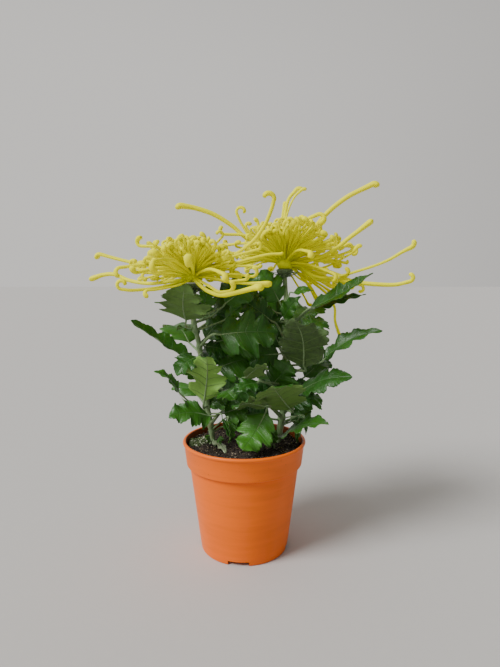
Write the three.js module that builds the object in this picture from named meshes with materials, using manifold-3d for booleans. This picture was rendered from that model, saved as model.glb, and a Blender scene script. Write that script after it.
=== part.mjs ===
// Potted spider chrysanthemum: two leafy stems with one large yellow bloom each, in a round nursery pot.
// Millimetres, +Z up, +Y away from the front. The origin is on the pot's axis, on the ground.
import * as THREE from "three";
import Module from "manifold-3d";
import { mergeVertices } from "three/addons/utils/BufferGeometryUtils.js";

const wasm = await Module();
wasm.setup();

// Driving dimensions of the pot, a 12 cm one
const POT = {
  rimRadius: 60,
  height: 107.7,
  lipDepth: 3.4,
  lipRound: 0.8,
  collarTop: 58.6,
  collarFoot: 56.4,
  collarBottom: 85.2,
  bodyTop: 53.3,
  baseRadius: 42.5,
  wall: 1.8,
  plateHeight: 5,
  plateThickness: 1.8,
  stepDepth: 1.5,
  stepInside: 1,
  footRise: 0.6,
  footWidth: 3,
  sides: 30,
};
const NOTCH = { count: 4, width: 20, height: 4, reach: 14, firstTurn: -97 };
const DRAIN = { count: 6, radius: 4, circle: 26, sides: 8 };

// Driving dimensions of the soil
const SOIL = {
  level: 102,
  shoulder: 1.5,
  spokes: 24,
  ringShares: [0.8, 0.55, 0.28],
  waveHeight: 0.66,
  lumpHeight: 0.44,
  crumbs: 8,
  crumbSizes: [1.8, 3.4],
  crumbReach: 50,
};

// Clearance between pieces that stand in or on each other
const GAP = 0.3;

// Stems: hand-picked points up the middle, radius at the foot and at the top
const STEM_FOOT = 64;
const HOLE = { radius: 3.7, floor: STEM_FOOT - GAP, sides: 10 };
const STEM_SIDES = 6;
const STEMS = {
  left: {
    path: [[-30, 2, STEM_FOOT], [-30, 2, 84], [-31, 2, 104], [-37, 0, 146], [-43, -2, 198], [-48, -7, 226],
      [-45, -21, 253]],
    radii: [2.7, 1.9],
  },
  right: {
    path: [[34, 5, STEM_FOOT], [34, 5, 84], [34, 5, 104], [39, 6, 144], [41, 9, 194], [42, 12, 223],
      [40, 20, 267]],
    radii: [2.9, 2.3],
  },
};

// Involucre: the green cup with pointed bracts that carries a bloom
const CUP = { radius: 8.2, footRadius: 3.3, rimRadius: 7.4, height: 8, shoulder: 2, sides: 9 };
const BRACT = { count: 9, path: [[2.5, -5], [7, -3.56], [11.5, -2.6]], radii: [1.8, 1.64, 0.5], sides: 4 };

// Blooms: the heart is the point that all florets leave from, the core is the solid middle
const HEARTS = { left: [-45, -22, 264], right: [40, 20, 278] };
const CORE = { radius: 10, rise: 7, drop: 4.5, foot: 6.5, shoulder: [7, 5.2], sides: 12 };
const FLORET_SIDES = 4;
const SHORT_SIDES = 3;

// Longest stretch of a floret's tube between two rings, and the most that a hook turns from ring to ring
const LONG_STEP = 18;
const SHORT_STEP = 30;
const HOOK_STEP = 60;

// Where along a floret its middle radius is reached, how much its end closes, and how much its hook tightens
const WAIST = 0.6;
const TIP_CLOSING = 0.6;
const HOOK_TIGHTENING = 0.45;

// Short florets of the dense middle. Lengths and lifts (degrees above level) are given at the middle and at
// the edge, powers say how fast they change, spreads are the random share, bends is how much the middle of a
// floret lies above and its end below the lift, frontLift is the least lift of those that face the front, and
// giveWay is how much those that lean towards the other bloom are shortened
const FAN = {
  count: 42,
  lifts: [84, 1],
  frontLift: 40,
  bends: [7, -4.2],
  liftPower: 0.68,
  liftSpread: 8,
  lengthPower: 0.6,
  lengthSpread: 7,
  giveWay: 0.26,
  hook: 2.8,
  hookRise: 0.35,
  turn: 190,
  radii: [0.9, 1.35, 2.1],
};
const FAN_LENGTHS = { left: [25, 47], right: [33, 58] };
const GOLDEN_TURN = 137.508;

// Long florets, each as hand-picked points from the heart (right, back, up), then the tip: the way it curls,
// the curl's radius and turn in degrees, and the tube's radius at the root, in the middle and at the tip
const UP = [0, 0, 1];
const DOWN = [0, 0, -1];
const LONG_RIGHT = [
  { path: [[15, -4, 12], [34, -10, 42], [56, -14, 61], [81, -16, 73]],
    curl: DOWN, hook: 3, turn: 120, radii: [1.5, 2.6, 3.3] },
  { path: [[24, -12, 3], [44, -24, 12], [58, -32, 23], [74, -40, 35]],
    curl: DOWN, hook: 3, turn: 60, radii: [1.2, 2.2, 3.0] },
  { path: [[5, -6, 17], [10, -12, 32], [20, -20, 41], [29, -22, 45]],
    curl: DOWN, hook: 4.5, turn: 230, radii: [1.3, 2.0, 2.8] },
  { path: [[15, -6, -3], [28, -14, -12], [46, -23, -13], [74, -30, -5], [92, -33, 2], [105, -36, 10],
      [112, -38, 14]],
    curl: UP, hook: 4, turn: 120, radii: [1.2, 1.4, 2.7] },
  { path: [[15, -5, -3], [29, -10, -14], [51, -20, -16], [75, -28, -19], [98, -35, -20], [111, -40, -17]],
    curl: UP, hook: 3.5, turn: 190, radii: [1.6, 2.3, 2.0] },
  { path: [[34, 5, -4], [63, 15, 8], [76, 18, 18]],
    curl: DOWN, hook: 3, turn: 90, radii: [0.9, 1.3, 2.8] },
  { path: [[19, -10, -2], [37, -18, 4], [51, -22, 8], [59, -24, 11]],
    curl: UP, hook: 3.6, turn: 260, radii: [1.0, 1.4, 2.1] },
  { path: [[-4, 4, 19], [0, 10, 45], [4, 12, 64], [12, 13, 74]],
    curl: DOWN, hook: 3.4, turn: 130, radii: [1.5, 1.8, 2.7] },
  { path: [[-4, 10, 20], [-2, 16, 43], [1, 18, 61]],
    curl: [1, 0, 0], hook: 3, turn: 60, radii: [1.0, 1.5, 2.0] },
  { path: [[-18, 4, 14], [-38, 6, 26], [-52, 6, 38], [-70, 6, 49], [-88, 6, 55], [-102, 5, 57]],
    curl: DOWN, hook: 3.5, turn: 110, radii: [1.5, 2.5, 3.2] },
  { path: [[-21, 0, 13], [-34, -2, 26], [-43, -2, 40], [-47, -2, 49]],
    curl: [1, 0, 0], hook: 4.2, turn: 250, radii: [1.2, 1.5, 2.1] },
  { path: [[-20, 8, 15], [-30, 10, 26], [-38, 11, 37]],
    curl: [1, 0, -0.4], hook: 2.6, turn: 220, radii: [0.9, 1.3, 2.5] },
  { path: [[-12, 14, 17], [-23, 18, 33], [-27, 20, 44]],
    curl: [-1, 0, 0], hook: 2.2, turn: 120, radii: [0.9, 1.3, 2.7] },
  { path: [[-5, -2, 14], [-9, -4, 23], [-13, -5, 34]],
    curl: [1, 0, 0], hook: 4, turn: 280, radii: [0.9, 1.4, 1.9] },
  { path: [[-1, -10, 18], [1, -13, 27], [0, -14, 35]],
    curl: [1, 0, 0], hook: 4, turn: 280, radii: [0.9, 1.3, 1.9] },
  { path: [[3, -16, 15], [8, -26, 26], [10, -29, 33]],
    curl: DOWN, hook: 2.4, turn: 90, radii: [0.9, 1.3, 2.6] },
  { path: [[14, 7, -3], [26, 12, -15], [44, 15, -29], [53, 16, -43], [54, 16, -57], [58, 16, -69]],
    curl: [1, 0, 0.4], hook: 5, turn: 70, radii: [1.2, 1.5, 2.0] },
  { path: [[10, 10, -3], [19, 19, -12], [28, 26, -23], [35, 30, -35]],
    curl: UP, hook: 3.5, turn: 200, radii: [0.9, 1.2, 2.0] },
  { path: [[14, 2, -3], [24, 3, -10], [45, 4, -15], [66, 4, -18], [77, 4, -21]],
    curl: DOWN, hook: 3.2, turn: 220, radii: [1.0, 1.4, 2.0] },
  { path: [[10, 9, -3], [19, 14, -13], [35, 24, -18], [48, 30, -26]],
    curl: DOWN, hook: 3, turn: 80, radii: [1.0, 1.3, 1.9] },
  { path: [[9, 12, -3], [20, 18, -11], [43, 36, -17], [64, 46, -24]],
    curl: UP, hook: 3, turn: 160, radii: [0.9, 1.3, 2.0] },
];
const LONG_LEFT = [
  { path: [[26, -4, 14], [51, -8, 30], [63, -10, 45], [69, -11, 59], [71, -11, 67]],
    curl: [-1, 0, 0], hook: 4.6, turn: 200, radii: [1.3, 1.9, 2.7] },
  { path: [[-18, 4, 5], [-47, 22, 12], [-72, 32, 17], [-96, 38, 23]],
    curl: DOWN, hook: 3, turn: 150, radii: [1.3, 1.8, 2.5] },
  { path: [[-18, 2, 4], [-45, 12, 7], [-59, 16, 10]],
    curl: UP, hook: 3.6, turn: 260, radii: [0.9, 1.3, 1.9] },
  { path: [[-15, 4, -2], [-43, 16, -5], [-66, 28, -2], [-82, 36, 4], [-95, 42, 4], [-107, 46, 1]],
    curl: [-1, 0, 0.6], hook: 3.5, turn: 60, radii: [1.5, 2.0, 3.1] },
  { path: [[-16, -6, -5], [-32, -12, -9], [-51, -18, -11], [-61, -20, -10]],
    curl: UP, hook: 3.9, turn: 290, radii: [1.1, 1.6, 2.1] },
  { path: [[-18, 10, 12], [-34, 18, 21], [-43, 22, 30]],
    curl: [-1, 0, -0.2], hook: 4, turn: 80, radii: [1.1, 1.6, 3.4] },
  { path: [[-13, -10, 1], [-28, -18, 3], [-39, -22, 4]],
    curl: DOWN, hook: 3, turn: 230, radii: [0.9, 1.3, 2.3] },
  { path: [[-7, -10, 5], [-19, -34, 13], [-25, -56, 19]],
    curl: UP, hook: 4, turn: 60, radii: [1.5, 2.5, 3.2] },
  { path: [[12, -12, 0], [32, -22, -4], [51, -28, -5], [66, -30, -5]],
    curl: [1, 0, 0.6], hook: 5, turn: 40, radii: [0.9, 1.2, 3.3] },
  { path: [[3, -13, -3], [13, -22, -11], [26, -32, -15], [39, -38, -13], [51, -42, -10], [56, -44, -9]],
    curl: DOWN, hook: 4.5, turn: 80, radii: [1.5, 2.2, 3.5] },
  { path: [[5, -13, -2], [15, -24, -7], [24, -32, -12], [32, -34, -12]],
    curl: UP, hook: 5, turn: 170, radii: [1.1, 1.4, 2.7] },
  { path: [[15, -10, 2], [35, -18, 3], [52, -22, 1]],
    curl: UP, hook: 4, turn: 210, radii: [1.0, 1.4, 2.2] },
  { path: [[14, -16, 0], [32, -24, -3], [46, -28, -2]],
    curl: UP, hook: 2.6, turn: 160, radii: [0.9, 1.1, 2.3] },
  { path: [[13, -6, 9], [37, -8, 19], [58, -10, 25]],
    curl: UP, hook: 2.6, turn: 200, radii: [1.0, 1.4, 2.1] },
  { path: [[17, -10, 6], [42, -12, 14], [65, -12, 20], [77, -12, 21]],
    curl: UP, hook: 2, turn: 90, radii: [1.1, 1.6, 1.9] },
];

// Long florets of the sides that face away: turn about the heart in degrees, then reach and rise of the tip.
// path: share of the reach, share of the rise and extra height of each point on the way
const ROUND_RIGHT = [[28, 86, 20], [50, 74, -8], [70, 97, 14], [93, 84, 38], [113, 94, 2], [136, 82, 24],
  [155, 88, 10], [176, 60, 30], [286, 62, 8]];
const ROUND_LEFT = [[96, 68, 26], [119, 80, -4], [142, 74, 16], [162, 54, 30], [207, 66, 8], [229, 62, 4],
  [251, 70, 12], [274, 88, 8], [297, 66, 2]];
const ROUND = {
  path: [[0.22, 0.3, 4], [0.6, 0.75, 5], [1, 1, 0]],
  radii: [1.2, 1.6, 2.4],
  hook: 4.2,
  turns: [210, 170, 130],
};

// Leaves: half the blade's width at each station from base to tip, as a share of the widest, measured along
// the side veins, which lean forward from the midrib by veinLean degrees, first and last. A ring across a
// leaf has four sides: upper, right edge, lower and left edge, and lies leastStep or more past the last one
const LOBED = [[0, 0.05], [0.05, 0.54], [0.14, 0.82], [0.21, 0.42], [0.31, 0.9], [0.43, 1], [0.52, 0.5],
  [0.62, 0.82], [0.76, 0.68], [0.89, 0.4], [1, 0.03]];
const PLAIN = [[0, 0.06], [0.1, 0.62], [0.28, 1], [0.42, 0.7], [0.6, 0.82], [0.82, 0.45], [1, 0.04]];
const BLADE = {
  thickness: 0.9,
  veinLean: [76, 24],
  leastStep: 0.8,
  ripple: 0.04,
  ripples: 9,
  plainArch: 2.5,
};
const LOWER_SIDE = 2;
const PETIOLE = { width: 1.7, depth: 1.6, reach: 8, reachShare: 0.2, rings: [0, 0.6] };

// Leaves. joint: height on the stem. base and tip: the ends of the blade's midrib. face: the way the upper
// side looks. wide: widest the blade is. arch: rise of the midrib's middle. plain: small, with few teeth
const LEAVES_LEFT = [
  { joint: 218, base: [-54, -14, 225], tip: [-51, -38, 259], face: [0.1, 0.75, 0.5], wide: 60, arch: -4 },
  { joint: 206, base: [-50, 6, 212], tip: [-66, 14, 214], face: [-0.1, 0.1, 1], wide: 22, arch: 3 },
  { joint: 180, base: [-54, -6, 188], tip: [-105, -16, 225], face: [0.35, -0.35, 0.85], wide: 27, arch: -2 },
  { joint: 126, base: [-62, -12, 156], tip: [-82, -20, 179], face: [0.5, -0.3, 0.8], wide: 20, arch: 3 },
  { joint: 122, base: [-33, -16, 134], tip: [-66, -38, 142], face: [-0.1, -0.7, 0.8], wide: 42, arch: 3 },
  { joint: 140, base: [-38, -14, 148], tip: [-32, -38, 196], face: [0.2, 0.8, 0.5], wide: 46, arch: 5 },
  { joint: 198, base: [-22, -20, 212], tip: [32, -15, 214], face: [0.05, -0.85, 0.5], wide: 58, arch: 4 },
  { joint: 148, base: [-20, -14, 158], tip: [-8, -32, 154], face: [0, -0.6, 0.8], wide: 32, arch: 4 },
  { joint: 188, base: [-44, -12, 190], tip: [-62, -26, 176], face: [0.1, -0.6, 0.8], wide: 30, arch: 3 },
  { joint: 222, base: [-28, 10, 230], tip: [12, 20, 258], face: [0, -0.8, 0.5], wide: 54, arch: 4 },
  { joint: 200, base: [-28, 8, 202], tip: [16, 16, 212], face: [0, -0.85, 0.5], wide: 56, arch: 4 },
  { joint: 172, base: [-26, 8, 176], tip: [14, 16, 184], face: [0, -0.85, 0.5], wide: 54, arch: 4 },
  { joint: 146, base: [-24, 8, 149], tip: [14, 14, 154], face: [0, -0.8, 0.6], wide: 50, arch: 4 },
  { joint: 120, base: [-20, 6, 131], tip: [14, 12, 136], face: [0, -0.75, 0.6], wide: 44, arch: 4 },
  { joint: 158, base: [-48, 2, 166], tip: [-60, 8, 178], face: [0.3, -0.6, 0.7], wide: 22, arch: 3 },
  { joint: 192, base: [-56, 20, 200], tip: [-80, 54, 214], face: [0.1, -0.3, 1], wide: 50, arch: 7 },
  { joint: 214, base: [-36, 22, 222], tip: [-30, 60, 232], face: [0, -0.2, 1], wide: 50, arch: 7 },
  { joint: 168, base: [-36, 24, 178], tip: [-26, 66, 182], face: [0, -0.1, 1], wide: 50, arch: 8 },
  { joint: 138, base: [-48, 18, 146], tip: [-64, 52, 148], face: [0, 0, 1], wide: 46, arch: 7 },
  { joint: 120, base: [-22, 24, 128], tip: [-12, 54, 124], face: [0, 0, 1], wide: 40, arch: 6 },
];
const LEAVES_RIGHT = [
  { joint: 200, base: [26, 4, 223], tip: [-4, 5, 244], face: [0.1, -0.85, 0.5], wide: 36, arch: 4 },
  { joint: 176, base: [56, -14, 182], tip: [44, -52, 228], face: [0.1, 0.7, 0.5], wide: 57, arch: 5 },
  { joint: 192, base: [55, 14, 205], tip: [80, 24, 224], face: [-0.3, -0.6, 0.7], wide: 46, arch: 5 },
  { joint: 214, base: [62, -12, 236], tip: [108, -46, 271], face: [-0.5, -0.4, 0.8], wide: 30, arch: -3 },
  { joint: 212, base: [68, -12, 237], tip: [108, -34, 250], face: [-0.4, -0.5, 0.8], wide: 20, plain: true },
  { joint: 178, base: [76, -12, 188], tip: [123, -30, 219], face: [-0.35, -0.5, 0.8], wide: 26, arch: 3 },
  { joint: 158, base: [60, 12, 166], tip: [88, 22, 180], face: [-0.2, -0.6, 0.75], wide: 38, arch: 5 },
  { joint: 148, base: [54, -12, 158], tip: [95, -41, 178], face: [-0.1, -0.65, 0.8], wide: 36, arch: 3 },
  { joint: 136, base: [44, -12, 140], tip: [26, -50, 170], face: [-0.1, 0.7, 0.65], wide: 60, arch: 5 },
  { joint: 128, base: [20, -18, 144], tip: [-8, -42, 150], face: [0, 0.6, 0.75], wide: 38, arch: 4 },
  { joint: 132, base: [56, 10, 138], tip: [78, 18, 144], face: [-0.2, -0.6, 0.8], wide: 34, arch: 4 },
  { joint: 112, base: [36, -10, 113], tip: [74, -47, 137], face: [0.1, -0.45, 0.9], wide: 36, arch: 4 },
  { joint: 126, base: [20, -20, 138], tip: [-1, -48, 113], face: [-0.1, -0.75, 0.6], wide: 45, arch: -4 },
  { joint: 160, base: [2, -40, 176], tip: [20, -53, 190], face: [-0.3, 0.7, 0.6], wide: 26, plain: true },
  { joint: 152, base: [12, -46, 172], tip: [-9, -61, 167], face: [0, -0.5, 0.85], wide: 24, plain: true },
  { joint: 222, base: [38, 4, 226], tip: [53, -8, 247], face: [0.1, -0.7, 0.6], wide: 24, plain: true },
  { joint: 216, base: [34, 20, 222], tip: [22, 28, 245], face: [0.2, -0.8, 0.5], wide: 40, arch: 4 },
  { joint: 184, base: [46, -2, 188], tip: [74, 2, 206], face: [-0.3, -0.8, 0.5], wide: 46, arch: 4 },
  { joint: 156, base: [28, 6, 160], tip: [44, -6, 184], face: [0.1, -0.9, 0.4], wide: 44, arch: 4 },
  { joint: 140, base: [44, 0, 142], tip: [66, -2, 160], face: [-0.2, -0.8, 0.5], wide: 44, arch: 4 },
  { joint: 186, base: [34, 8, 190], tip: [2, 9, 188], face: [0, -0.85, 0.5], wide: 46, arch: 4 },
  { joint: 208, base: [54, 28, 218], tip: [76, 68, 230], face: [0, -0.2, 1], wide: 50, arch: 7 },
  { joint: 184, base: [34, 32, 194], tip: [24, 72, 200], face: [0, -0.2, 1], wide: 50, arch: 8 },
  { joint: 166, base: [60, 28, 172], tip: [88, 60, 176], face: [0, -0.1, 1], wide: 46, arch: 7 },
  { joint: 144, base: [36, 28, 152], tip: [30, 66, 150], face: [0, 0, 1], wide: 46, arch: 8 },
  { joint: 128, base: [52, 26, 134], tip: [72, 52, 132], face: [0, 0, 1], wide: 40, arch: 6 },
];

const vec = (p) => new THREE.Vector3(...p);
const rad = THREE.MathUtils.degToRad;
const mix = THREE.MathUtils.lerp;

// A repeatable draw between 0 and 1 for any whole number
function draw(index) {
  const wave = Math.sin(index * 12.9898) * 43758.5453;
  return wave - Math.floor(wave);
}

function finish(name, color, roughness, solid) {
  const mesh = solid.getMesh();
  const geometry = new THREE.BufferGeometry();
  geometry.setAttribute("position", new THREE.BufferAttribute(new Float32Array(mesh.vertProperties), 3));
  geometry.setIndex(new THREE.BufferAttribute(new Uint32Array(mesh.triVerts), 1));
  const part = new THREE.Mesh(geometry, new THREE.MeshStandardMaterial({ color, roughness, metalness: 0 }));
  part.name = name;
  return part;
}

function solid(geometry) {
  geometry.deleteAttribute("normal");
  geometry.deleteAttribute("uv");
  const merged = mergeVertices(geometry, 1e-4);
  return new wasm.Manifold(new wasm.Mesh({
    numProp: 3,
    vertProperties: new Float32Array(merged.getAttribute("position").array),
    triVerts: new Uint32Array(merged.index.array),
  }));
}

function meshOf(points, faces) {
  const geometry = new THREE.BufferGeometry();
  geometry.setAttribute("position", new THREE.Float32BufferAttribute(points.flatMap((p) => p.toArray()), 3));
  geometry.setIndex(faces);
  return geometry;
}

// Closed skin over rings of points: the rings are joined in order and both ends are closed with fans.
// The sides named in crossed are split into triangles along their other diagonal
function skin(rings, crossed = []) {
  const sides = rings[0].length;
  const points = rings.flat();
  const faces = [];
  for (let ring = 0; ring < rings.length - 1; ring++) {
    for (let side = 0; side < sides; side++) {
      const a = ring * sides + side;
      const b = ring * sides + ((side + 1) % sides);
      if (crossed.includes(side)) faces.push(a, b, a + sides, b, b + sides, a + sides);
      else faces.push(a, b, b + sides, a, b + sides, a + sides);
    }
  }
  const last = (rings.length - 1) * sides;
  for (let side = 1; side < sides - 1; side++) {
    faces.push(0, side + 1, side);
    faces.push(last, last + side, last + side + 1);
  }
  return meshOf(points, faces);
}

// Solid of revolution about +Z from points given as radius and height
function turned(profile, sides) {
  const points = profile.map(([x, z]) => new THREE.Vector2(x, z));
  return new THREE.LatheGeometry(points, sides).rotateX(Math.PI / 2);
}

// Cylinder that stands along +Z
function upright(radius, height, sides) {
  return new THREE.CylinderGeometry(radius, radius, height, sides).rotateX(Math.PI / 2);
}

// Round tube of changing radius along points, its rings turned as little as they can be
function tube(points, radii, sides) {
  const rings = [];
  let across = null;
  points.forEach((point, index) => {
    const before = points[Math.max(index - 1, 0)];
    const after = points[Math.min(index + 1, points.length - 1)];
    const along = after.clone().sub(before).normalize();
    if (!across) across = new THREE.Vector3(0.31, 0.86, 0.4).cross(along).normalize();
    across.sub(along.clone().multiplyScalar(across.dot(along))).normalize();
    const beside = along.clone().cross(across);
    rings.push(Array.from({ length: sides }, (_, side) => {
      const turn = (side / sides) * Math.PI * 2;
      return point.clone()
        .addScaledVector(across, Math.cos(turn) * radii[index])
        .addScaledVector(beside, Math.sin(turn) * radii[index]);
    }));
  });
  return skin(rings);
}

// Points along a smooth line through hand-picked ones
function smooth(path, steps) {
  return new THREE.CatmullRomCurve3(path.map(vec), false, "catmullrom", 0.5).getPoints(steps);
}

// Continues a line with an arc that closes in as it turns towards a given way
function curled(points, towards, radius, turn, steps) {
  const end = points[points.length - 1];
  const along = end.clone().sub(points[points.length - 2]).normalize();
  const inward = vec(towards);
  inward.sub(along.clone().multiplyScalar(inward.dot(along))).normalize();
  const at = end.clone();
  const step = rad(turn) / steps;
  const arc = [];
  for (let k = 0; k < steps; k++) {
    const angle = step * (k + 0.5);
    const length = step * radius * (1 - HOOK_TIGHTENING * (k / steps));
    at.addScaledVector(along, Math.cos(angle) * length).addScaledVector(inward, Math.sin(angle) * length);
    arc.push(at.clone());
  }
  return points.concat(arc);
}

// A floret: a tube that widens from root to tip and ends in its curl
function floret({ path, curl, hook, turn, radii }, sides, stepLength) {
  const start = [[0, 0, 0], ...path];
  const length = new THREE.CatmullRomCurve3(start.map(vec)).getLength();
  const line = smooth(start, Math.max(2, Math.round(length / stepLength)));
  const arcSteps = Math.max(1, Math.round(turn / HOOK_STEP));
  const points = curled(line, curl, hook, turn, arcSteps);
  const widths = points.map((_, index) => {
    const share = index / (points.length - 1);
    const widening = share < WAIST
      ? mix(radii[0], radii[1], share / WAIST)
      : mix(radii[1], radii[2], (share - WAIST) / (1 - WAIST));
    return index === points.length - 1 ? widening * TIP_CLOSING : widening;
  });
  return solid(tube(points, widths, sides));
}

// A bloom: its solid core, the short florets by rule, and the long ones. Short florets that lean towards
// the other bloom give way to it
function bloom(heart, other, lengths, long, round) {
  const toOther = Math.atan2(other[1] - heart[1], other[0] - heart[0]);
  const florets = [];
  for (let index = 0; index < FAN.count; index++) {
    const share = (index + 0.5) / FAN.count;
    const turn = rad(index * GOLDEN_TURN);
    const facing = Math.max(0, Math.cos(turn - toOther));
    const even = mix(...FAN.lifts, share ** FAN.liftPower) + (draw(index) - 0.5) * FAN.liftSpread;
    const lift = Math.max(even, FAN.frontLift * -Math.sin(turn));
    const length = mix(...lengths, share ** FAN.lengthPower) * (1 - FAN.giveWay * facing * share)
      + (draw(index + FAN.count) - 0.5) * FAN.lengthSpread;
    const at = (part, extraLift) => {
      const rise = rad(lift + extraLift);
      const reach = length * part;
      const level = reach * Math.cos(rise);
      return [Math.cos(turn) * level, Math.sin(turn) * level, Math.sin(rise) * reach];
    };
    const path = [at(0.5, FAN.bends[0] * share), at(1, FAN.bends[1] * share)];
    const curl = [-Math.cos(turn), -Math.sin(turn), FAN.hookRise];
    florets.push(floret({ ...FAN, path, curl }, SHORT_SIDES, SHORT_STEP));
  }
  for (const one of long) florets.push(floret(one, FLORET_SIDES, LONG_STEP));
  round.forEach(([degrees, reach, rise], index) => {
    const turn = rad(degrees);
    const path = ROUND.path.map(([part, lifted, extra]) => [
      Math.cos(turn) * reach * part,
      Math.sin(turn) * reach * part,
      rise * lifted + extra,
    ]);
    const curl = index % 2 ? UP : DOWN;
    const hookTurn = ROUND.turns[index % ROUND.turns.length];
    florets.push(floret({ ...ROUND, path, curl, turn: hookTurn }, FLORET_SIDES, LONG_STEP));
  });
  const profile = [
    [0, -CORE.drop],
    [CORE.foot, -CORE.drop],
    [CORE.radius, 0],
    CORE.shoulder,
    [0, CORE.rise],
  ];
  return wasm.Manifold.union([solid(turned(profile, CORE.sides)), ...florets]).translate(heart);
}

// A leaf with its petiole, as one thin body: two edges from the stem to the tip. Its lower side is split
// into triangles as the upper one is, so that a waved blade never crosses itself
function leaf(data, stemPoint) {
  const base = vec(data.base);
  const reach = vec(data.tip).sub(base);
  const along = reach.clone().normalize();
  const up = vec(data.face);
  up.sub(along.clone().multiplyScalar(up.dot(along))).normalize();
  const side = along.clone().cross(up);
  const rings = [];
  const ring = (left, right, normal, thickness) => {
    const half = normal.clone().multiplyScalar(thickness / 2);
    const upper = [left.clone().add(half), right.clone().add(half)];
    rings.push([...upper, right.clone().sub(half), left.clone().sub(half)]);
  };
  const straight = Math.min(PETIOLE.reach, reach.length() * PETIOLE.reachShare);
  const leaving = base.clone().addScaledVector(along, -straight);
  const stalk = new THREE.CatmullRomCurve3([stemPoint, leaving, base], false, "catmullrom", 0.5);
  for (const place of PETIOLE.rings) {
    const point = stalk.getPoint(place);
    const across = stalk.getTangent(place).cross(up).normalize();
    const normal = across.clone().cross(stalk.getTangent(place));
    const half = across.clone().multiplyScalar(PETIOLE.width / 2);
    ring(point.clone().sub(half), point.clone().add(half), normal, PETIOLE.depth);
  }
  const stations = data.plain ? PLAIN : LOBED;
  const arch = data.arch ?? BLADE.plainArch;
  let front = -BLADE.leastStep;
  stations.forEach(([place, share], index) => {
    const lean = rad(mix(BLADE.veinLean[0], BLADE.veinLean[1], place));
    const width = (share * data.wide) / 2;
    const swept = reach.length() * place + width * Math.cos(lean) * (1 - place);
    front = Math.max(swept, front + BLADE.leastStep);
    const middle = base.clone().addScaledVector(along, front)
      .addScaledVector(up, arch * Math.sin(Math.PI * place));
    const edge = (hand) => middle.clone()
      .addScaledVector(side, hand * width * Math.sin(lean))
      .addScaledVector(up, hand * BLADE.ripple * data.wide * share * Math.sin(place * BLADE.ripples));
    ring(edge(-1), edge(1), up, index === 0 ? PETIOLE.depth : BLADE.thickness);
  });
  return solid(skin(rings, [LOWER_SIDE]));
}

// Involucre: the green cup at the stem's top, with pointed bracts that lean out of it under the florets
function involucre(heart) {
  const seat = vec(heart).add(new THREE.Vector3(0, 0, -CORE.drop - GAP));
  const profile = [
    [0, -CUP.height],
    [CUP.footRadius, -CUP.height],
    [CUP.radius, -CUP.shoulder],
    [CUP.rimRadius, 0],
    [0, 0],
  ];
  const pieces = [solid(turned(profile, CUP.sides)).translate(seat.toArray())];
  for (let index = 0; index < BRACT.count; index++) {
    const turn = (index / BRACT.count) * Math.PI * 2;
    const line = BRACT.path.map(([reach, height]) => seat.clone()
      .add(new THREE.Vector3(Math.cos(turn) * reach, Math.sin(turn) * reach, height)));
    pieces.push(solid(tube(line, BRACT.radii, BRACT.sides)));
  }
  return pieces;
}

function leafyStem({ path, radii }, leaves, heart) {
  const points = smooth(path, 11);
  const widths = points.map((_, index) => mix(radii[0], radii[1], index / (points.length - 1)));
  const pieces = [solid(tube(points, widths, STEM_SIDES)), ...involucre(heart)];
  const line = smooth(path, 200);
  for (const data of leaves) {
    const away = (p) => Math.abs(p.z - data.joint);
    pieces.push(leaf(data, line.reduce((best, p) => (away(p) < away(best) ? p : best))));
  }
  return wasm.Manifold.union(pieces);
}

function pot() {
  const p = POT;
  const inner = (radius) => radius - p.wall;
  const profile = [
    [0, p.plateHeight],
    [p.baseRadius - p.footWidth, p.plateHeight],
    [p.baseRadius - p.footWidth, 0],
    [p.baseRadius, 0],
    [p.bodyTop, p.collarBottom - p.stepDepth],
    [p.collarFoot, p.collarBottom],
    [p.collarTop, p.height - p.lipDepth],
    [p.rimRadius, p.height - p.lipDepth],
    [p.rimRadius, p.height - p.lipRound],
    [p.rimRadius - p.lipRound, p.height],
    [inner(p.collarTop), p.height],
    [inner(p.collarFoot), p.collarBottom],
    [inner(p.bodyTop), p.collarBottom - p.stepDepth - p.stepInside],
    [inner(p.baseRadius) + p.footRise, p.plateHeight + p.plateThickness],
    [0, p.plateHeight + p.plateThickness],
  ];
  const shell = solid(turned(profile, p.sides));
  const cuts = [];
  for (let index = 0; index < NOTCH.count; index++) {
    const turn = rad(NOTCH.firstTurn + (index * 360) / NOTCH.count);
    const notch = new THREE.BoxGeometry(NOTCH.reach, NOTCH.width, NOTCH.height * 2);
    cuts.push(solid(notch.translate(p.baseRadius, 0, 0).rotateZ(turn)));
  }
  for (let index = 0; index < DRAIN.count; index++) {
    const turn = rad((index * 360) / DRAIN.count);
    const drain = upright(DRAIN.radius, p.plateHeight * 2, DRAIN.sides);
    drain.translate(DRAIN.circle * Math.cos(turn), DRAIN.circle * Math.sin(turn), p.plateHeight);
    cuts.push(solid(drain));
  }
  return shell.subtract(wasm.Manifold.union(cuts));
}

// Height of the soil's surface above any point: slow waves and small lumps
function soilHeight(x, y) {
  const wave = Math.sin(x * 0.13 + 1) * Math.cos(y * 0.11);
  const lump = Math.sin(x * 0.37 + y * 0.29);
  return SOIL.level + SOIL.waveHeight * wave + SOIL.lumpHeight * lump;
}

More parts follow.
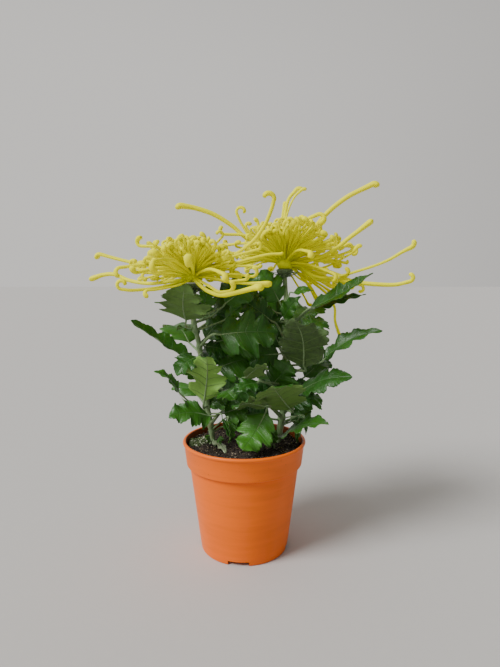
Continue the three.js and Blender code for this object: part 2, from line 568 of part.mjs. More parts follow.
function soil() {
  const p = POT;
  const inside = (radius) => radius - p.wall - GAP;
  const upCollar = (z) => (z - p.collarBottom) / (p.height - p.collarBottom);
  const wallAt = (z) => mix(inside(p.collarFoot), inside(p.collarTop), upCollar(z));
  const shoulder = SOIL.level - SOIL.shoulder;
  const rows = [
    [inside(p.baseRadius) + p.footRise, p.plateHeight + p.plateThickness + GAP],
    [inside(p.bodyTop) - GAP / 3, p.collarBottom - p.stepDepth - p.stepInside],
    [inside(p.collarFoot) - GAP / 3, p.collarBottom + GAP * 0.7],
    [wallAt(shoulder) - GAP * 0.7, shoulder],
    ...SOIL.ringShares.map((share) => [wallAt(SOIL.level) * share, null]),
  ];
  const rings = rows.map(([radius, height]) => Array.from({ length: SOIL.spokes }, (_, spoke) => {
    const turn = (spoke / SOIL.spokes) * Math.PI * 2;
    const x = radius * Math.cos(turn);
    const y = radius * Math.sin(turn);
    return new THREE.Vector3(x, y, height ?? soilHeight(x, y));
  }));
  const pieces = [solid(skin(rings))];
  for (let index = 0; index < SOIL.crumbs; index++) {
    const turn = rad(index * GOLDEN_TURN);
    const reach = SOIL.crumbReach * Math.sqrt((index + 0.5) / SOIL.crumbs);
    const x = reach * Math.cos(turn);
    const y = reach * Math.sin(turn);
    const size = mix(...SOIL.crumbSizes, draw(index + 7));
    const crumb = new THREE.OctahedronGeometry(size).scale(1, 0.8, 0.7).rotateZ(index);
    pieces.push(solid(crumb.translate(x, y, soilHeight(x, y) + size * 0.1)));
  }
  const depth = p.height - HOLE.floor;
  const holes = Object.values(STEMS).map(({ path }) => {
    const [x, y] = path[0];
    return solid(upright(HOLE.radius, depth, HOLE.sides).translate(x, y, HOLE.floor + depth / 2));
  });
  return wasm.Manifold.union(pieces).subtract(wasm.Manifold.union(holes));
}

const plant = new THREE.Group();
plant.add(finish("pot", 0xdc7731, 0.55, pot()));
plant.add(finish("soil", 0x2a241d, 0.95, soil()));
plant.add(finish("stem_left", 0x3c6b30, 0.5, leafyStem(STEMS.left, LEAVES_LEFT, HEARTS.left)));
plant.add(finish("stem_right", 0x33602b, 0.5, leafyStem(STEMS.right, LEAVES_RIGHT, HEARTS.right)));
const bloomLeft = bloom(HEARTS.left, HEARTS.right, FAN_LENGTHS.left, LONG_LEFT, ROUND_LEFT);
const bloomRight = bloom(HEARTS.right, HEARTS.left, FAN_LENGTHS.right, LONG_RIGHT, ROUND_RIGHT);
plant.add(finish("bloom_left", 0xf2e614, 0.5, bloomLeft));
plant.add(finish("bloom_right", 0xf2e614, 0.5, bloomRight));

export default plant;
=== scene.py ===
"""Potted spider chrysanthemum: fine leaves, florets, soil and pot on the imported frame, and a studio."""
import math

import bpy
import numpy as np
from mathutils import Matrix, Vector, noise


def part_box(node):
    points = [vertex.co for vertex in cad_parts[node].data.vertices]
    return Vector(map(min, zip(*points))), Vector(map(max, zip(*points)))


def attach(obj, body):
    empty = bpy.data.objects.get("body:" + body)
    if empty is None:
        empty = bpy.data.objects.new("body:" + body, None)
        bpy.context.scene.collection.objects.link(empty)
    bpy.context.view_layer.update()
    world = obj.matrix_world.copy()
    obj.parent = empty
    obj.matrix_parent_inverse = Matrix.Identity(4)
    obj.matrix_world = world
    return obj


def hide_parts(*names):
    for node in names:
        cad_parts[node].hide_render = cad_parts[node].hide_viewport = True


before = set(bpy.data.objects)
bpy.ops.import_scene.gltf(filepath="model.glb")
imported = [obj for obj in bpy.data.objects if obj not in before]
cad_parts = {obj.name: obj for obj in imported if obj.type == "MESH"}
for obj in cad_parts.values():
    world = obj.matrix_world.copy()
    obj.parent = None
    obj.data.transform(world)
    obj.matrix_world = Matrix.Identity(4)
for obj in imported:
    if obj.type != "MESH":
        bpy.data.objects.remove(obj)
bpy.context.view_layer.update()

bl_info = {
    "name": "Potted spider chrysanthemum",
    "version": (1, 0, 0),
    "blender": (4, 5, 0),
    "location": "3D View > Sidebar > Chrysanthemum",
    "description": "Builds a potted spider chrysanthemum with two yellow blooms, and a studio for it",
    "category": "Add Mesh",
}

MM = 0.001
BODY = "root"
GOLDEN_TURN = math.radians(137.508)
TINY = 1e-9
UP = (0, 0, 1)
DOWN = (0, 0, -1)
STEM_NAMES = ("left", "right")

# Sizes that the frame gives, in millimetres
POT_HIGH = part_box("pot")[1] / MM
RIM_RADIUS = POT_HIGH.y
POT_HEIGHT = POT_HIGH.z

# The rest of the pot, in millimetres
LIP_DEPTH = 3.4
COLLAR_TOP = 58.6
COLLAR_FOOT = 56.4
COLLAR_BOTTOM = 85.2
BODY_TOP = 53.3
BASE_RADIUS = 42.5
WALL = 1.8
STEP_DEPTH = 1.5
PLATE_BOTTOM = 5
PLATE_TOP = 6.8
FOOT_WIDTH = 3
NOTCH_COUNT = 4
NOTCH_DEPTH = 14
NOTCH_WIDTH = 20
NOTCH_HEIGHT = 4
NOTCH_TURN = math.radians(-97)
DRAIN_COUNT = 6
DRAIN_RADIUS = 4
DRAIN_CIRCLE = 26
DRAIN_CUT = 12
SHARP_ANGLE = math.radians(40)

# Soil, with how far its edge sinks at the wall
SOIL_LEVEL = 102
SOIL_GAP = 0.3
SOIL_RINGS = 64
SOIL_SPOKES = 192
SOIL_RISE = (SOIL_LEVEL - COLLAR_BOTTOM) / (POT_HEIGHT - COLLAR_BOTTOM)
SOIL_EDGE = COLLAR_FOOT + (COLLAR_TOP - COLLAR_FOOT) * SOIL_RISE - (WALL + SOIL_GAP) - 0.1
SOIL_EDGE_SINKS = 1.2

# Loose grains: share of all grains up to this kind, least and greatest size, stretch, flatness, finish
GRAIN_KINDS = (
    (0.58, 0.4, 1.2, 1.2, 0.8, 0),
    (0.84, 0.3, 0.7, 3.0, 0.5, 1),
    (0.94, 0.25, 0.6, 1.4, 0.8, 2),
    (1.0, 0.2, 0.42, 3.6, 0.5, 2),
)
GRAIN_SHAPE = ((-1, 0.3), (-0.6, 0.9), (0, 1), (0.6, 0.8), (1, 0.25))
GRAIN_SIDES = 6
GRAIN_JITTER = (0.75, 1.2)
GRAIN_TIPS = (-0.5, 0.5)
GRAIN_LIFT = 0.2

# Cushion of moss: where it is, its tufts, their shape and how far they stand up, and the share that is green
MOSS_MIDDLE = (-46, 4)
MOSS_REACH = (12, 13)
MOSS_TUFTS = 260
MOSS_SIZES = (0.4, 1.1)
MOSS_STRETCH = 1.8
MOSS_FLATNESS = 0.9
MOSS_LIFT = 0.7
MOSS_GREEN = 0.8

# Stems: points up the middle, radius at the foot and at the top
STEMS = {
    "left": {
        "path": [(-30, 2, 64), (-30, 2, 84), (-31, 2, 104), (-37, 0, 146), (-43, -2, 198), (-48, -7, 226),
                 (-45, -21, 253)],
        "radii": (2.7, 1.9),
    },
    "right": {
        "path": [(34, 5, 64), (34, 5, 84), (34, 5, 104), (39, 6, 144), (41, 9, 194), (42, 12, 223),
                 (40, 20, 267)],
        "radii": (2.9, 2.3),
    },
}

# How the stems swell at each joint, and their short hairs
STEM_ROWS = 130
STEM_SIDES = 20
STEM_RIDGES = 0.07
JOINT_SWELL = 0.45
JOINT_REACH = 2.2
HAIR_LENGTHS = (0.5, 1.1)
HAIR_LEAN = 0.25
HAIR_WIDTH = 0.05
HAIR_FIRST_ROW = 30

# Blooms: the heart is the point that all florets leave from, and the core and the green cup under it are
# turned from radius and height pairs
HEARTS = {"left": (-45, -22, 264), "right": (40, 20, 278)}
CORE_DROP = 4.5
CORE_PROFILE = ((0.1, -CORE_DROP), (6.2, -CORE_DROP), (7.4, -2), (8, 0), (7, 3), (5, 5.25), (0.1, 7))
CORE_SIDES = 32
CUP_PROFILE = ((1.8, -8.4), (3.3, -8), (5.4, -6.4), (7.2, -4), (8.2, -2), (8.1, -0.6), (7.4, 0), (0.1, 0))
CUP_SIDES = 36

# Rows of narrow bracts on the cup: how many, root radius, root height, reach, half width
BRACT_ROWS = (
    (11, 3.2, -7.2, 8.5, 0.95),
    (14, 4.6, -5.4, 11, 1.0),
    (17, 5.6, -3.6, 13.2, 1.1),
)
BRACT_WIDTHS = (0.9, 1, 1.02, 1, 0.92, 0.8, 0.6, 0.35, 0.06)
BRACT_THICKNESS = 0.28
BRACT_SEEDS = {"left": 60, "right": 0}
BRACT_DRAWS = {"turn": (-0.2, 0.2, 0), "reach": (-1, 1.4, 0.4), "rise": (-2.4, 2.6, 0.8)}

# Every floret, with places as shares of its length: how it flares near its tip, from where and how deep it
# opens into a channel, how flat it gets, how deep its grooves are, how its tip closes over its last rows, the
# degrees in a step of its curl, and how much the curl tightens
FLARE = ((0.78, 0.93), (1, 1.28))
WIDEST_MIDDLE = 0.6
CHANNEL_FROM = 0.35
CHANNEL_POWER = 1.3
CHANNEL_DEPTH = 0.75
CHANNEL_DRAW = (0.55, 1.0)
FLATTENING = 0.28
GROOVE_DEPTH = 0.04
TIP_ROWS = 3.2
TIP_CLOSING = 0.93
CURL_STEP = 17
CURL_TIGHTENS = 0.45

# Sides and length of a step, in millimetres, for each kind of floret
SHORT_MESH = (8, 3.4)
LONG_MESH = (14, 2.0)
ROUND_MESH = (14, 2.4)

# Where the draws of each bloom's short, long and outer florets start
FAN_SEEDS = {"left": 500, "right": 0}
LONG_SEED = 900
ROUND_SEED = 950

# Short florets of the dense middle: values at the middle and at the edge of the bloom
FAN_COUNT = 135
FAN_LENGTHS = {"left": (25, 47), "right": (33, 58)}
FAN_LENGTH_POWER = 0.6
FAN_LIFTS = (84, 1)
FAN_LIFT_POWER = 0.68
FAN_RISE = 7
FAN_SINK = 4.2
FAN_GIVE_WAY = 0.26
FAN_FRONT_LIFT = 40
FAN_RADII = (0.85, 1.5, 2.4)

# What each short floret draws for itself: least and greatest value, and a shift of the draw
FAN_DRAWS = {
    "lift": (-6, 6, 0),
    "bend": (-3, 3, 0.1),
    "aside": (-1.3, 1.3, 0.2),
    "hook": (2.3, 3.9, 0.4),
    "length": (-8, 6, 0.5),
    "rise": (-0.1, 0.8, 0.6),
    "turn": (140, 340, 0.8),
    "size": (0.8, 1.15, 0.9),
}

# Long florets, each as points from the heart (right, back, up), then the way its tip curls,
# the curl's radius and turn in degrees, and the tube's radius at the root, in the middle and at the tip
LONG_FLORETS = {
    "right": [
        ([(15, -4, 12), (34, -10, 42), (56, -14, 61), (81, -16, 73)],
         DOWN, 3, 120, (1.5, 2.6, 3.3)),
        ([(24, -12, 3), (44, -24, 12), (58, -32, 23), (74, -40, 35)],
         DOWN, 3, 60, (1.2, 2.2, 3.0)),
        ([(5, -6, 17), (10, -12, 32), (20, -20, 41), (29, -22, 45)],
         DOWN, 4.5, 230, (1.3, 2.0, 2.8)),
        ([(15, -6, -3), (28, -14, -12), (46, -23, -13), (74, -30, -5), (92, -33, 2), (105, -36, 10),
           (112, -38, 14)],
         UP, 4, 120, (1.2, 1.4, 2.7)),
        ([(15, -5, -3), (29, -10, -14), (51, -20, -16), (75, -28, -19), (98, -35, -20), (111, -40, -17)],
         UP, 3.5, 190, (1.6, 2.3, 2.0)),
        ([(34, 5, -4), (63, 15, 8), (76, 18, 18)],
         DOWN, 3, 90, (0.9, 1.3, 2.8)),
        ([(19, -10, -2), (37, -18, 4), (51, -22, 8), (59, -24, 11)],
         UP, 3.6, 260, (1.0, 1.4, 2.1)),
        ([(-4, 4, 19), (0, 10, 45), (4, 12, 64), (12, 13, 74)],
         DOWN, 3.4, 130, (1.5, 1.8, 2.7)),
        ([(-2, 2, 22), (2, 4, 48), (9, 5, 65), (17, 6, 73)],
         DOWN, 2.4, 120, (0.9, 1.1, 2.1)),
        ([(-4, 10, 20), (-2, 16, 43), (1, 18, 61)],
         (1, 0, 0), 3, 60, (1.0, 1.5, 2.0)),
        ([(-18, 4, 14), (-38, 6, 26), (-52, 6, 38), (-70, 6, 49), (-88, 6, 55), (-102, 5, 57)],
         DOWN, 3.5, 110, (1.5, 2.5, 3.2)),
        ([(-21, 0, 13), (-34, -2, 26), (-43, -2, 40), (-47, -2, 49)],
         (1, 0, 0), 4.2, 250, (1.2, 1.5, 2.1)),
        ([(-20, 8, 15), (-30, 10, 26), (-38, 11, 37)],
         (1, 0, -0.4), 2.6, 220, (0.9, 1.3, 2.5)),
        ([(-12, 14, 17), (-23, 18, 33), (-27, 20, 44)],
         (-1, 0, 0), 2.2, 120, (0.9, 1.3, 2.7)),
        ([(-5, -2, 14), (-9, -4, 23), (-13, -5, 34)],
         (1, 0, 0), 4, 280, (0.9, 1.4, 1.9)),
        ([(-1, -10, 18), (1, -13, 27), (0, -14, 35)],
         (1, 0, 0), 4, 280, (0.9, 1.3, 1.9)),
        ([(3, -16, 15), (8, -26, 26), (10, -29, 33)],
         DOWN, 2.4, 90, (0.9, 1.3, 2.6)),
        ([(14, 7, -3), (26, 12, -15), (44, 15, -29), (53, 16, -43), (54, 16, -57), (58, 16, -69)],
         (1, 0, 0.4), 5, 70, (1.2, 1.5, 2.0)),
        ([(10, 10, -3), (19, 19, -12), (28, 26, -23), (35, 30, -35)],
         UP, 3.5, 200, (0.9, 1.2, 2.0)),
        ([(14, 2, -3), (24, 3, -10), (45, 4, -15), (66, 4, -18), (77, 4, -21)],
         DOWN, 3.2, 220, (1.0, 1.4, 2.0)),
        ([(10, 9, -3), (19, 14, -13), (35, 24, -18), (48, 30, -26)],
         DOWN, 3, 80, (1.0, 1.3, 1.9)),
        ([(13, 8, -12), (27, 16, -21), (34, 18, -32)],
         (-1, 0, 0), 3, 60, (0.8, 1.1, 1.6)),
        ([(9, 12, -3), (20, 18, -11), (43, 36, -17), (64, 46, -24)],
         UP, 3, 160, (0.9, 1.3, 2.0)),
        ([(11, 20, -15), (22, 34, -30), (28, 38, -40)],
         (1, 0, 0), 3, 120, (0.9, 1.1, 1.9)),
        ([(21, 16, -10), (44, 30, -13), (65, 38, -16)],
         DOWN, 3, 120, (0.9, 1.3, 2.0)),
    ],
    "left": [
        ([(26, -4, 14), (51, -8, 30), (63, -10, 45), (69, -11, 59), (71, -11, 67)],
         (-1, 0, 0), 4.6, 200, (1.3, 1.9, 2.7)),
        ([(-18, 4, 5), (-47, 22, 12), (-72, 32, 17), (-96, 38, 23)],
         DOWN, 3, 150, (1.3, 1.8, 2.5)),
        ([(-18, 2, 4), (-45, 12, 7), (-59, 16, 10)],
         UP, 3.6, 260, (0.9, 1.3, 1.9)),
        ([(-15, 4, -2), (-43, 16, -5), (-66, 28, -2), (-82, 36, 4), (-95, 42, 4), (-107, 46, 1)],
         (-1, 0, 0.6), 3.5, 60, (1.5, 2.0, 3.1)),
        ([(-16, -6, -5), (-32, -12, -9), (-51, -18, -11), (-61, -20, -10)],
         UP, 3.9, 290, (1.1, 1.6, 2.1)),
        ([(-18, 10, 12), (-34, 18, 21), (-43, 22, 30)],
         (-1, 0, -0.2), 4, 80, (1.1, 1.6, 3.4)),
        ([(-13, -10, 1), (-28, -18, 3), (-39, -22, 4)],
         DOWN, 3, 230, (0.9, 1.3, 2.3)),
        ([(-7, -10, 5), (-19, -34, 13), (-25, -56, 19)],
         UP, 4, 60, (1.5, 2.5, 3.2)),
        ([(12, -12, 0), (32, -22, -4), (51, -28, -5), (66, -30, -5)],
         (1, 0, 0.6), 5, 40, (0.9, 1.2, 3.3)),
        ([(3, -13, -3), (13, -22, -11), (26, -32, -15), (39, -38, -13), (51, -42, -10), (56, -44, -9)],
         DOWN, 4.5, 80, (1.5, 2.2, 3.5)),
        ([(5, -13, -2), (15, -24, -7), (24, -32, -12), (32, -34, -12)],
         UP, 5, 170, (1.1, 1.4, 2.7)),
        ([(15, -10, 2), (35, -18, 3), (52, -22, 1)],
         UP, 4, 210, (1.0, 1.4, 2.2)),
        ([(14, -16, 0), (32, -24, -3), (46, -28, -2)],
         UP, 2.6, 160, (0.9, 1.1, 2.3)),
        ([(-10, -18, -6), (-26, -30, -10), (-35, -36, -11)],
         DOWN, 2.4, 200, (0.8, 1.1, 2.5)),
        ([(13, -8, 3), (31, -14, 9), (51, -18, 10), (57, -20, 9)],
         UP, 2.5, 120, (0.9, 1.2, 1.9)),
        ([(13, -6, 9), (37, -8, 19), (58, -10, 25)],
         UP, 2.6, 200, (1.0, 1.4, 2.1)),
        ([(9, 2, 14), (18, 4, 29), (25, 5, 37)],
         UP, 3, 240, (0.9, 1.3, 2.0)),
        ([(17, -10, 6), (42, -12, 14), (65, -12, 20), (77, -12, 21)],
         UP, 2, 90, (1.1, 1.6, 1.9)),
    ],
}

# Long florets of the sides that face away: turn about the heart in degrees, reach and rise of the tip
ROUND_FLORETS = {
    "right": [(28, 86, 20), (50, 74, -8), (70, 97, 14), (93, 84, 38), (113, 94, 2), (136, 82, 24),
              (155, 88, 10), (176, 60, 30), (286, 62, 8), (336, 58, -12), (350, 64, -16), (4, 60, -20),
              (16, 66, -14), (30, 58, -22), (42, 66, -16), (58, 56, -20), (322, 54, -10)],
    "left": [(96, 68, 26), (119, 80, -4), (142, 74, 16), (162, 54, 30), (207, 66, 8), (229, 62, 4),
             (251, 70, 12), (274, 88, 8), (297, 66, 2)],
}
ROUND_PATH = ((0.22, 0.3, 4), (0.6, 0.75, 5), (1, 1, 0))
ROUND_RADII = (1.2, 1.6, 2.4)
ROUND_HOOK = 4.2
ROUND_TURNS = (210, 170, 130)

# Leaf outlines: half the width at each station from base to tip, as a share of the widest, then the places of
# the side veins, the teeth and their depth, and the rows of the mesh
LOBED = ((0, 0.05), (0.05, 0.54), (0.14, 0.76), (0.21, 0.54), (0.31, 0.9), (0.43, 1), (0.52, 0.56),
         (0.62, 0.84), (0.76, 0.8), (0.89, 0.6), (1, 0.05))
PLAIN = ((0, 0.06), (0.1, 0.62), (0.28, 1), (0.42, 0.7), (0.6, 0.82), (0.82, 0.45), (1, 0.04))
LEAF_KINDS = {
    "lobed": {
        "stations": LOBED,
        "veins": (0.09, 0.28, 0.42, 0.62, 0.78),
        "teeth": 14,
        "depth": 0.15,
        "rows": 62,
    },
    "plain": {
        "stations": PLAIN,
        "veins": (0.2, 0.5, 0.75),
        "teeth": 6,
        "depth": 0.1,
        "rows": 44,
    },
}
LOBE_DRAW = (0.94, 1.12)
LOBE_ROUNDNESS = 0.8

# Blades: angle of the side veins to the midrib at base and tip, columns from midrib to margin, and how much
# the surface twists, waves and cups
VEIN_LEAN = (76, 24)
LEAF_THICKNESS = 0.36
ACROSS = (0, 0.12, 0.3, 0.5, 0.7, 0.88, 1)
COLUMNS = np.array((*(-share for share in ACROSS[:0:-1]), *ACROSS))
CENTER = len(ACROSS) - 1
BLADE_TWIST = 0.08
BLADE_TWIST_TURNS = 9
BLADE_WAVE = 0.085
BLADE_WAVE_TURNS = 21
BLADE_CUP = 0.0072

# What each blade draws for itself: least and greatest value, and a shift of the draw
LEAF_DRAWS = {
    "wave": (0.5, 1.6, 0.2),
    "phase": (0, 6, 0.4),
    "sway": (-0.06, 0.06, 0.5),
    "roll": (-0.1, 0.16, 0.6),
    "droop": (0.0, 0.08, 0.9),
}

# Petiole, midrib and side veins: radius at the start and at the end
PETIOLE_RADII = (1.5, 0.95)
MIDRIB_RADII = (0.85, 0.2)
MIDRIB_SINKS = 0.3
MIDRIB_END = 0.86
VEIN_RADII = (0.42, 0.1)
VEIN_SINKS = 0.22
FULL_WIDTH = 40

# Leaves: height of the joint on the stem, base and tip of the blade, the way the upper side looks, width,
# rise of the midrib's middle, and how far the two halves fold up
LEAVES = {
    "left": [
        (218, (-54, -14, 225), (-51, -38, 259), (0.1, 0.75, 0.5), 60, -4, 0.1),
        (206, (-50, 6, 212), (-66, 14, 214), (-0.1, 0.1, 1), 22, 3, 0.2),
        (180, (-54, -6, 188), (-105, -16, 225), (0.35, -0.35, 0.85), 27, -2, 0.5),
        (126, (-62, -12, 156), (-82, -20, 179), (0.5, -0.3, 0.8), 20, 3, 0.4),
        (122, (-33, -16, 134), (-66, -38, 142), (-0.1, -0.7, 0.8), 42, 3, 0.1),
        (140, (-38, -14, 148), (-32, -38, 196), (0.2, 0.8, 0.5), 46, 5, 0.3),
        (198, (-22, -20, 212), (32, -15, 214), (0.05, -0.85, 0.5), 58, 4, 0.1),
        (148, (-20, -14, 158), (-8, -32, 154), (0, -0.6, 0.8), 32, 4, 0.15),
        (188, (-44, -12, 190), (-62, -26, 176), (0.1, -0.6, 0.8), 30, 3, 0.2),
        (222, (-28, 10, 230), (12, 20, 258), (0, -0.8, 0.5), 54, 4, 0.15),
        (200, (-28, 8, 202), (16, 16, 212), (0, -0.85, 0.5), 56, 4, 0.15),
        (172, (-26, 8, 176), (14, 16, 184), (0, -0.85, 0.5), 54, 4, 0.15),
        (146, (-24, 8, 149), (14, 14, 154), (0, -0.8, 0.6), 50, 4, 0.15),
        (120, (-20, 6, 131), (14, 12, 136), (0, -0.75, 0.6), 44, 4, 0.15),
        (158, (-48, 2, 166), (-60, 8, 178), (0.3, -0.6, 0.7), 22, 3, 0.2),
        (192, (-56, 20, 200), (-80, 54, 214), (0.1, -0.3, 1), 50, 7, 0.2),
        (214, (-36, 22, 222), (-30, 60, 232), (0, -0.2, 1), 50, 7, 0.2),
        (168, (-36, 24, 178), (-26, 66, 182), (0, -0.1, 1), 50, 8, 0.2),
        (138, (-48, 18, 146), (-64, 52, 148), (0, 0, 1), 46, 7, 0.2),
        (120, (-22, 24, 128), (-12, 54, 124), (0, 0, 1), 40, 6, 0.2),
        (198, (-38, 4, 206), (-16, 10, 228), (0, -0.8, 0.6), 34, 3, 0.15),
        (186, (-38, 2, 198), (-16, 6, 190), (0, -0.7, 0.7), 30, 3, 0.15),
        (124, (-36, 2, 140), (-16, 4, 152), (0, -0.7, 0.7), 34, 3, 0.15),
        (112, (-20, 4, 118), (4, 2, 126), (0, -0.7, 0.7), 26, 3, 0.15),
        (226, (-18, 2, 240), (12, -4, 268), (0.2, -0.9, 0.4), 36, 3, 0.15),
        (222, (-39, 2, 230), (-33, 4, 257), (0.1, -0.9, 0.4), 28, 3, 0.15),
        (214, (-18, 2, 225), (3, 0, 238), (0, -0.85, 0.5), 20, 3, 0.15),
    ],
    "right": [
        (200, (26, 4, 223), (-4, 5, 244), (0.1, -0.85, 0.5), 36, 4, 0.15),
        (176, (56, -14, 182), (44, -52, 228), (0.1, 0.7, 0.5), 57, 5, 0.15),
        (192, (55, 14, 205), (80, 24, 224), (-0.3, -0.6, 0.7), 46, 5, 0.2),
        (214, (62, -12, 236), (108, -46, 271), (-0.5, -0.4, 0.8), 30, -3, 0.35),
        (178, (76, -12, 188), (123, -30, 219), (-0.35, -0.5, 0.8), 26, 3, 0.45),
        (158, (60, 12, 166), (88, 22, 180), (-0.2, -0.6, 0.75), 38, 5, 0.2),
        (148, (54, -12, 158), (95, -41, 178), (-0.1, -0.65, 0.8), 36, 3, 0.15),
        (136, (44, -12, 140), (26, -50, 170), (-0.1, 0.7, 0.65), 60, 5, 0.15),
        (128, (20, -18, 144), (-8, -42, 150), (0, 0.6, 0.75), 38, 4, 0.15),
        (132, (56, 10, 138), (78, 18, 144), (-0.2, -0.6, 0.8), 34, 4, 0.2),
        (112, (36, -10, 113), (74, -47, 137), (0.1, -0.45, 0.9), 36, 4, 0.15),
        (126, (20, -20, 138), (-1, -48, 113), (-0.1, -0.75, 0.6), 45, -4, 0.1),
        (216, (34, 20, 222), (22, 28, 245), (0.2, -0.8, 0.5), 40, 4, 0.15),
        (184, (46, -2, 188), (74, 2, 206), (-0.3, -0.8, 0.5), 46, 4, 0.15),
        (156, (28, 6, 160), (44, -6, 184), (0.1, -0.9, 0.4), 44, 4, 0.15),
        (140, (44, 0, 142), (66, -2, 160), (-0.2, -0.8, 0.5), 44, 4, 0.15),
        (186, (34, 8, 190), (2, 9, 188), (0, -0.85, 0.5), 46, 4, 0.15),
        (208, (54, 28, 218), (76, 68, 230), (0, -0.2, 1), 50, 7, 0.2),
        (184, (34, 32, 194), (24, 72, 200), (0, -0.2, 1), 50, 8, 0.2),
        (166, (60, 28, 172), (88, 60, 176), (0, -0.1, 1), 46, 7, 0.2),
        (144, (36, 28, 152), (30, 66, 150), (0, 0, 1), 46, 8, 0.2),
        (128, (52, 26, 134), (72, 52, 132), (0, 0, 1), 40, 6, 0.2),
        (124, (24, 0, 128), (4, -4, 136), (0, -0.7, 0.6), 34, 3, 0.15),
        (116, (46, 6, 124), (66, 4, 134), (-0.1, -0.7, 0.6), 30, 3, 0.15),
        (230, (34, 13, 242), (16, 6, 272), (0.1, -0.9, 0.4), 36, 3, 0.15),
        (138, (17, -4, 148), (18, -10, 168), (0, -0.85, 0.5), 24, 3, 0.15),
        (214, (32, 18, 230), (-4, 24, 244), (0, -0.85, 0.5), 48, 4, 0.15),
        (176, (36, 14, 196), (20, 18, 228), (0, -0.85, 0.5), 46, 4, 0.15),
    ],
}

# Small plain leaves, in the same order of values
SMALL_LEAVES = {
    "left": [
        (115, (-16, -12, 128), (-14, -26, 111), (0.8, -0.5, 0.3), 13, 2.5, 0.5),
        (132, (-21, -10, 130), (-12, -16, 108), (0.6, -0.6, 0.4), 9, 3, 0.4),
        (176, (-50, -6, 186), (-58, -14, 194), (0.2, -0.6, 0.6), 12, 2.5, 0.3),
    ],
    "right": [
        (212, (68, -12, 237), (108, -34, 250), (-0.4, -0.5, 0.8), 20, 2.5, 0.2),
        (160, (2, -40, 176), (20, -53, 190), (-0.3, 0.7, 0.6), 26, 2.5, -0.1),
        (152, (12, -46, 172), (-9, -61, 167), (0, -0.5, 0.85), 24, 2.5, 0.2),
        (222, (38, 4, 226), (53, -8, 247), (0.1, -0.7, 0.6), 24, 2.5, 0.2),
        (236, (48, 10, 250), (66, 2, 253), (0, -0.7, 0.7), 14, 2.5, 0.2),
        (118, (50, 0, 122), (50, -8, 108), (0.8, -0.3, 0.4), 12, 2.5, 0.4),
        (126, (57, -6, 129), (60, -10, 114), (0.5, -0.7, 0.4), 7, 1, 0.3),
        (122, (52, -6, 127), (51, -10, 106), (-0.4, -0.8, 0.3), 8, 2, 0.3),
        (110, (24, -8, 114), (14, -24, 119), (0, -0.4, 1), 16, 2.5, 0.2),
    ],
}

# Seedlings and a spent leaf on the soil: their foot, then the same values as a leaf, then their tint
SPROUTS = [
    ((-34, -4), (-33, -7, 107), (-38, -11, 113), (0, -0.6, 0.8), 9, 1, 0.1, 1.2),
    ((-29, -6), (-27, -8, 107), (-19, -12, 110), (0, -0.6, 0.8), 9, 1, 0.1, 1.2),
    ((-28, -8), (-26, -10, 105), (-22, -17, 106), (0, -0.6, 0.8), 8, 1, 0.1, 1.2),
    ((26, -11), (25, -14, 109), (20, -18, 125), (0, -0.9, 0.4), 9, 1, 0.1, 0.9),
    ((28, -11), (27, -13, 110), (26, -16, 126), (0, -0.9, 0.4), 8, 1, 0.1, 1.0),
    ((30, -11), (29, -14, 109), (31, -17, 121), (0, -0.9, 0.4), 8, 1, 0.1, 1.1),
    ((25, -13), (23, -16, 108), (19, -20, 118), (0, -0.8, 0.5), 8, 1, 0.1, 1.0),
    ((29, -14), (28, -16, 108), (29, -20, 114), (0, -0.8, 0.5), 8, 1, 0.1, 1.1),
    ((-29, 0), (-30, -2, 106), (-16, -30, 103.5), (0.3, -0.2, 1), 13, 2, -0.2, 2),
]

# Leaves that are lighter or darker than the rest: place in LEAVES, then tint
TINTS = {
    "left": {0: 0.35, 2: 0.3, 3: 0.8, 5: 1.2},
    "right": {1: 0.0, 3: 0.1, 8: 0.25, 11: 0.9},
}

# Where the draws of each stem's leaves start
LEAF_SEEDS = {"left": 10, "right": 210}
SMALL_SEED = 100
SPROUT_SEED = 160

# Stage: the key light's side and softness, the way in which the room darkens, the heights and turns between
# which its brightness changes, and the floor, in metres
KEY_FROM = (-0.8, -0.5, 0.95)
KEY_SPREAD = math.radians(24)
DARK_SIDE = (0.85, -0.5, 0)
DARK_RANGE = (-0.7, 1)
CEILING_RANGE = (0.35, 0.8)
FLOOR_RADIUS = 80
FLOOR_DROP = 0.0002
FLOOR_SIDES = 96
CAMERA_ASIDE = 0.0056
SENSOR_WIDTH = 36


def draw(index):
    """A repeatable draw between 0 and 1 for any number."""
    wave = math.sin(index * 12.9898) * 43758.5453
    return wave - math.floor(wave)


def between(low, high, index):
    """A repeatable draw between two values."""
    return low + (high - low) * draw(index)


def draws(table, seed):
    """A draw for each name of a table of least values, greatest values and shifts."""
    return {name: between(low, high, seed + shift) for name, (low, high, shift) in table.items()}


def unit(vector):
    return vector / max(np.linalg.norm(vector), TINY)


def across_to(vector, along):
    """The part of a vector that stands square to another, as a unit vector."""
    return unit(vector - along * np.dot(vector, along))


def even_turns(count):
    """Angles that share out a full turn."""
    return np.arange(count) / count * 2 * math.pi


def turned(vectors, spin):
    """Vectors turned about the upright axis."""
    cosine, sine = math.cos(spin), math.sin(spin)
    return vectors @ np.array(((cosine, -sine, 0), (sine, cosine, 0), (0, 0, 1))).T


def smooth_line(points, steps):
    """Points along a smooth line through given ones."""
    picked = np.array(points, float)
    padded = np.vstack([2 * picked[0] - picked[1], picked, 2 * picked[-1] - picked[-2]])
    place = np.linspace(0, len(picked) - 1, steps + 1)
    cell = np.minimum(place.astype(int), len(picked) - 2)
    part = (place - cell)[:, None]
    before, start, end, after = (padded[cell + offset] for offset in range(4))
    leaving = 0.5 * (end - before)
    arriving = 0.5 * (after - start)
    cubic = 2 * start - 2 * end + leaving + arriving
    square = -3 * start + 3 * end - 2 * leaving - arriving
    return start + leaving * part + square * part**2 + cubic * part**3


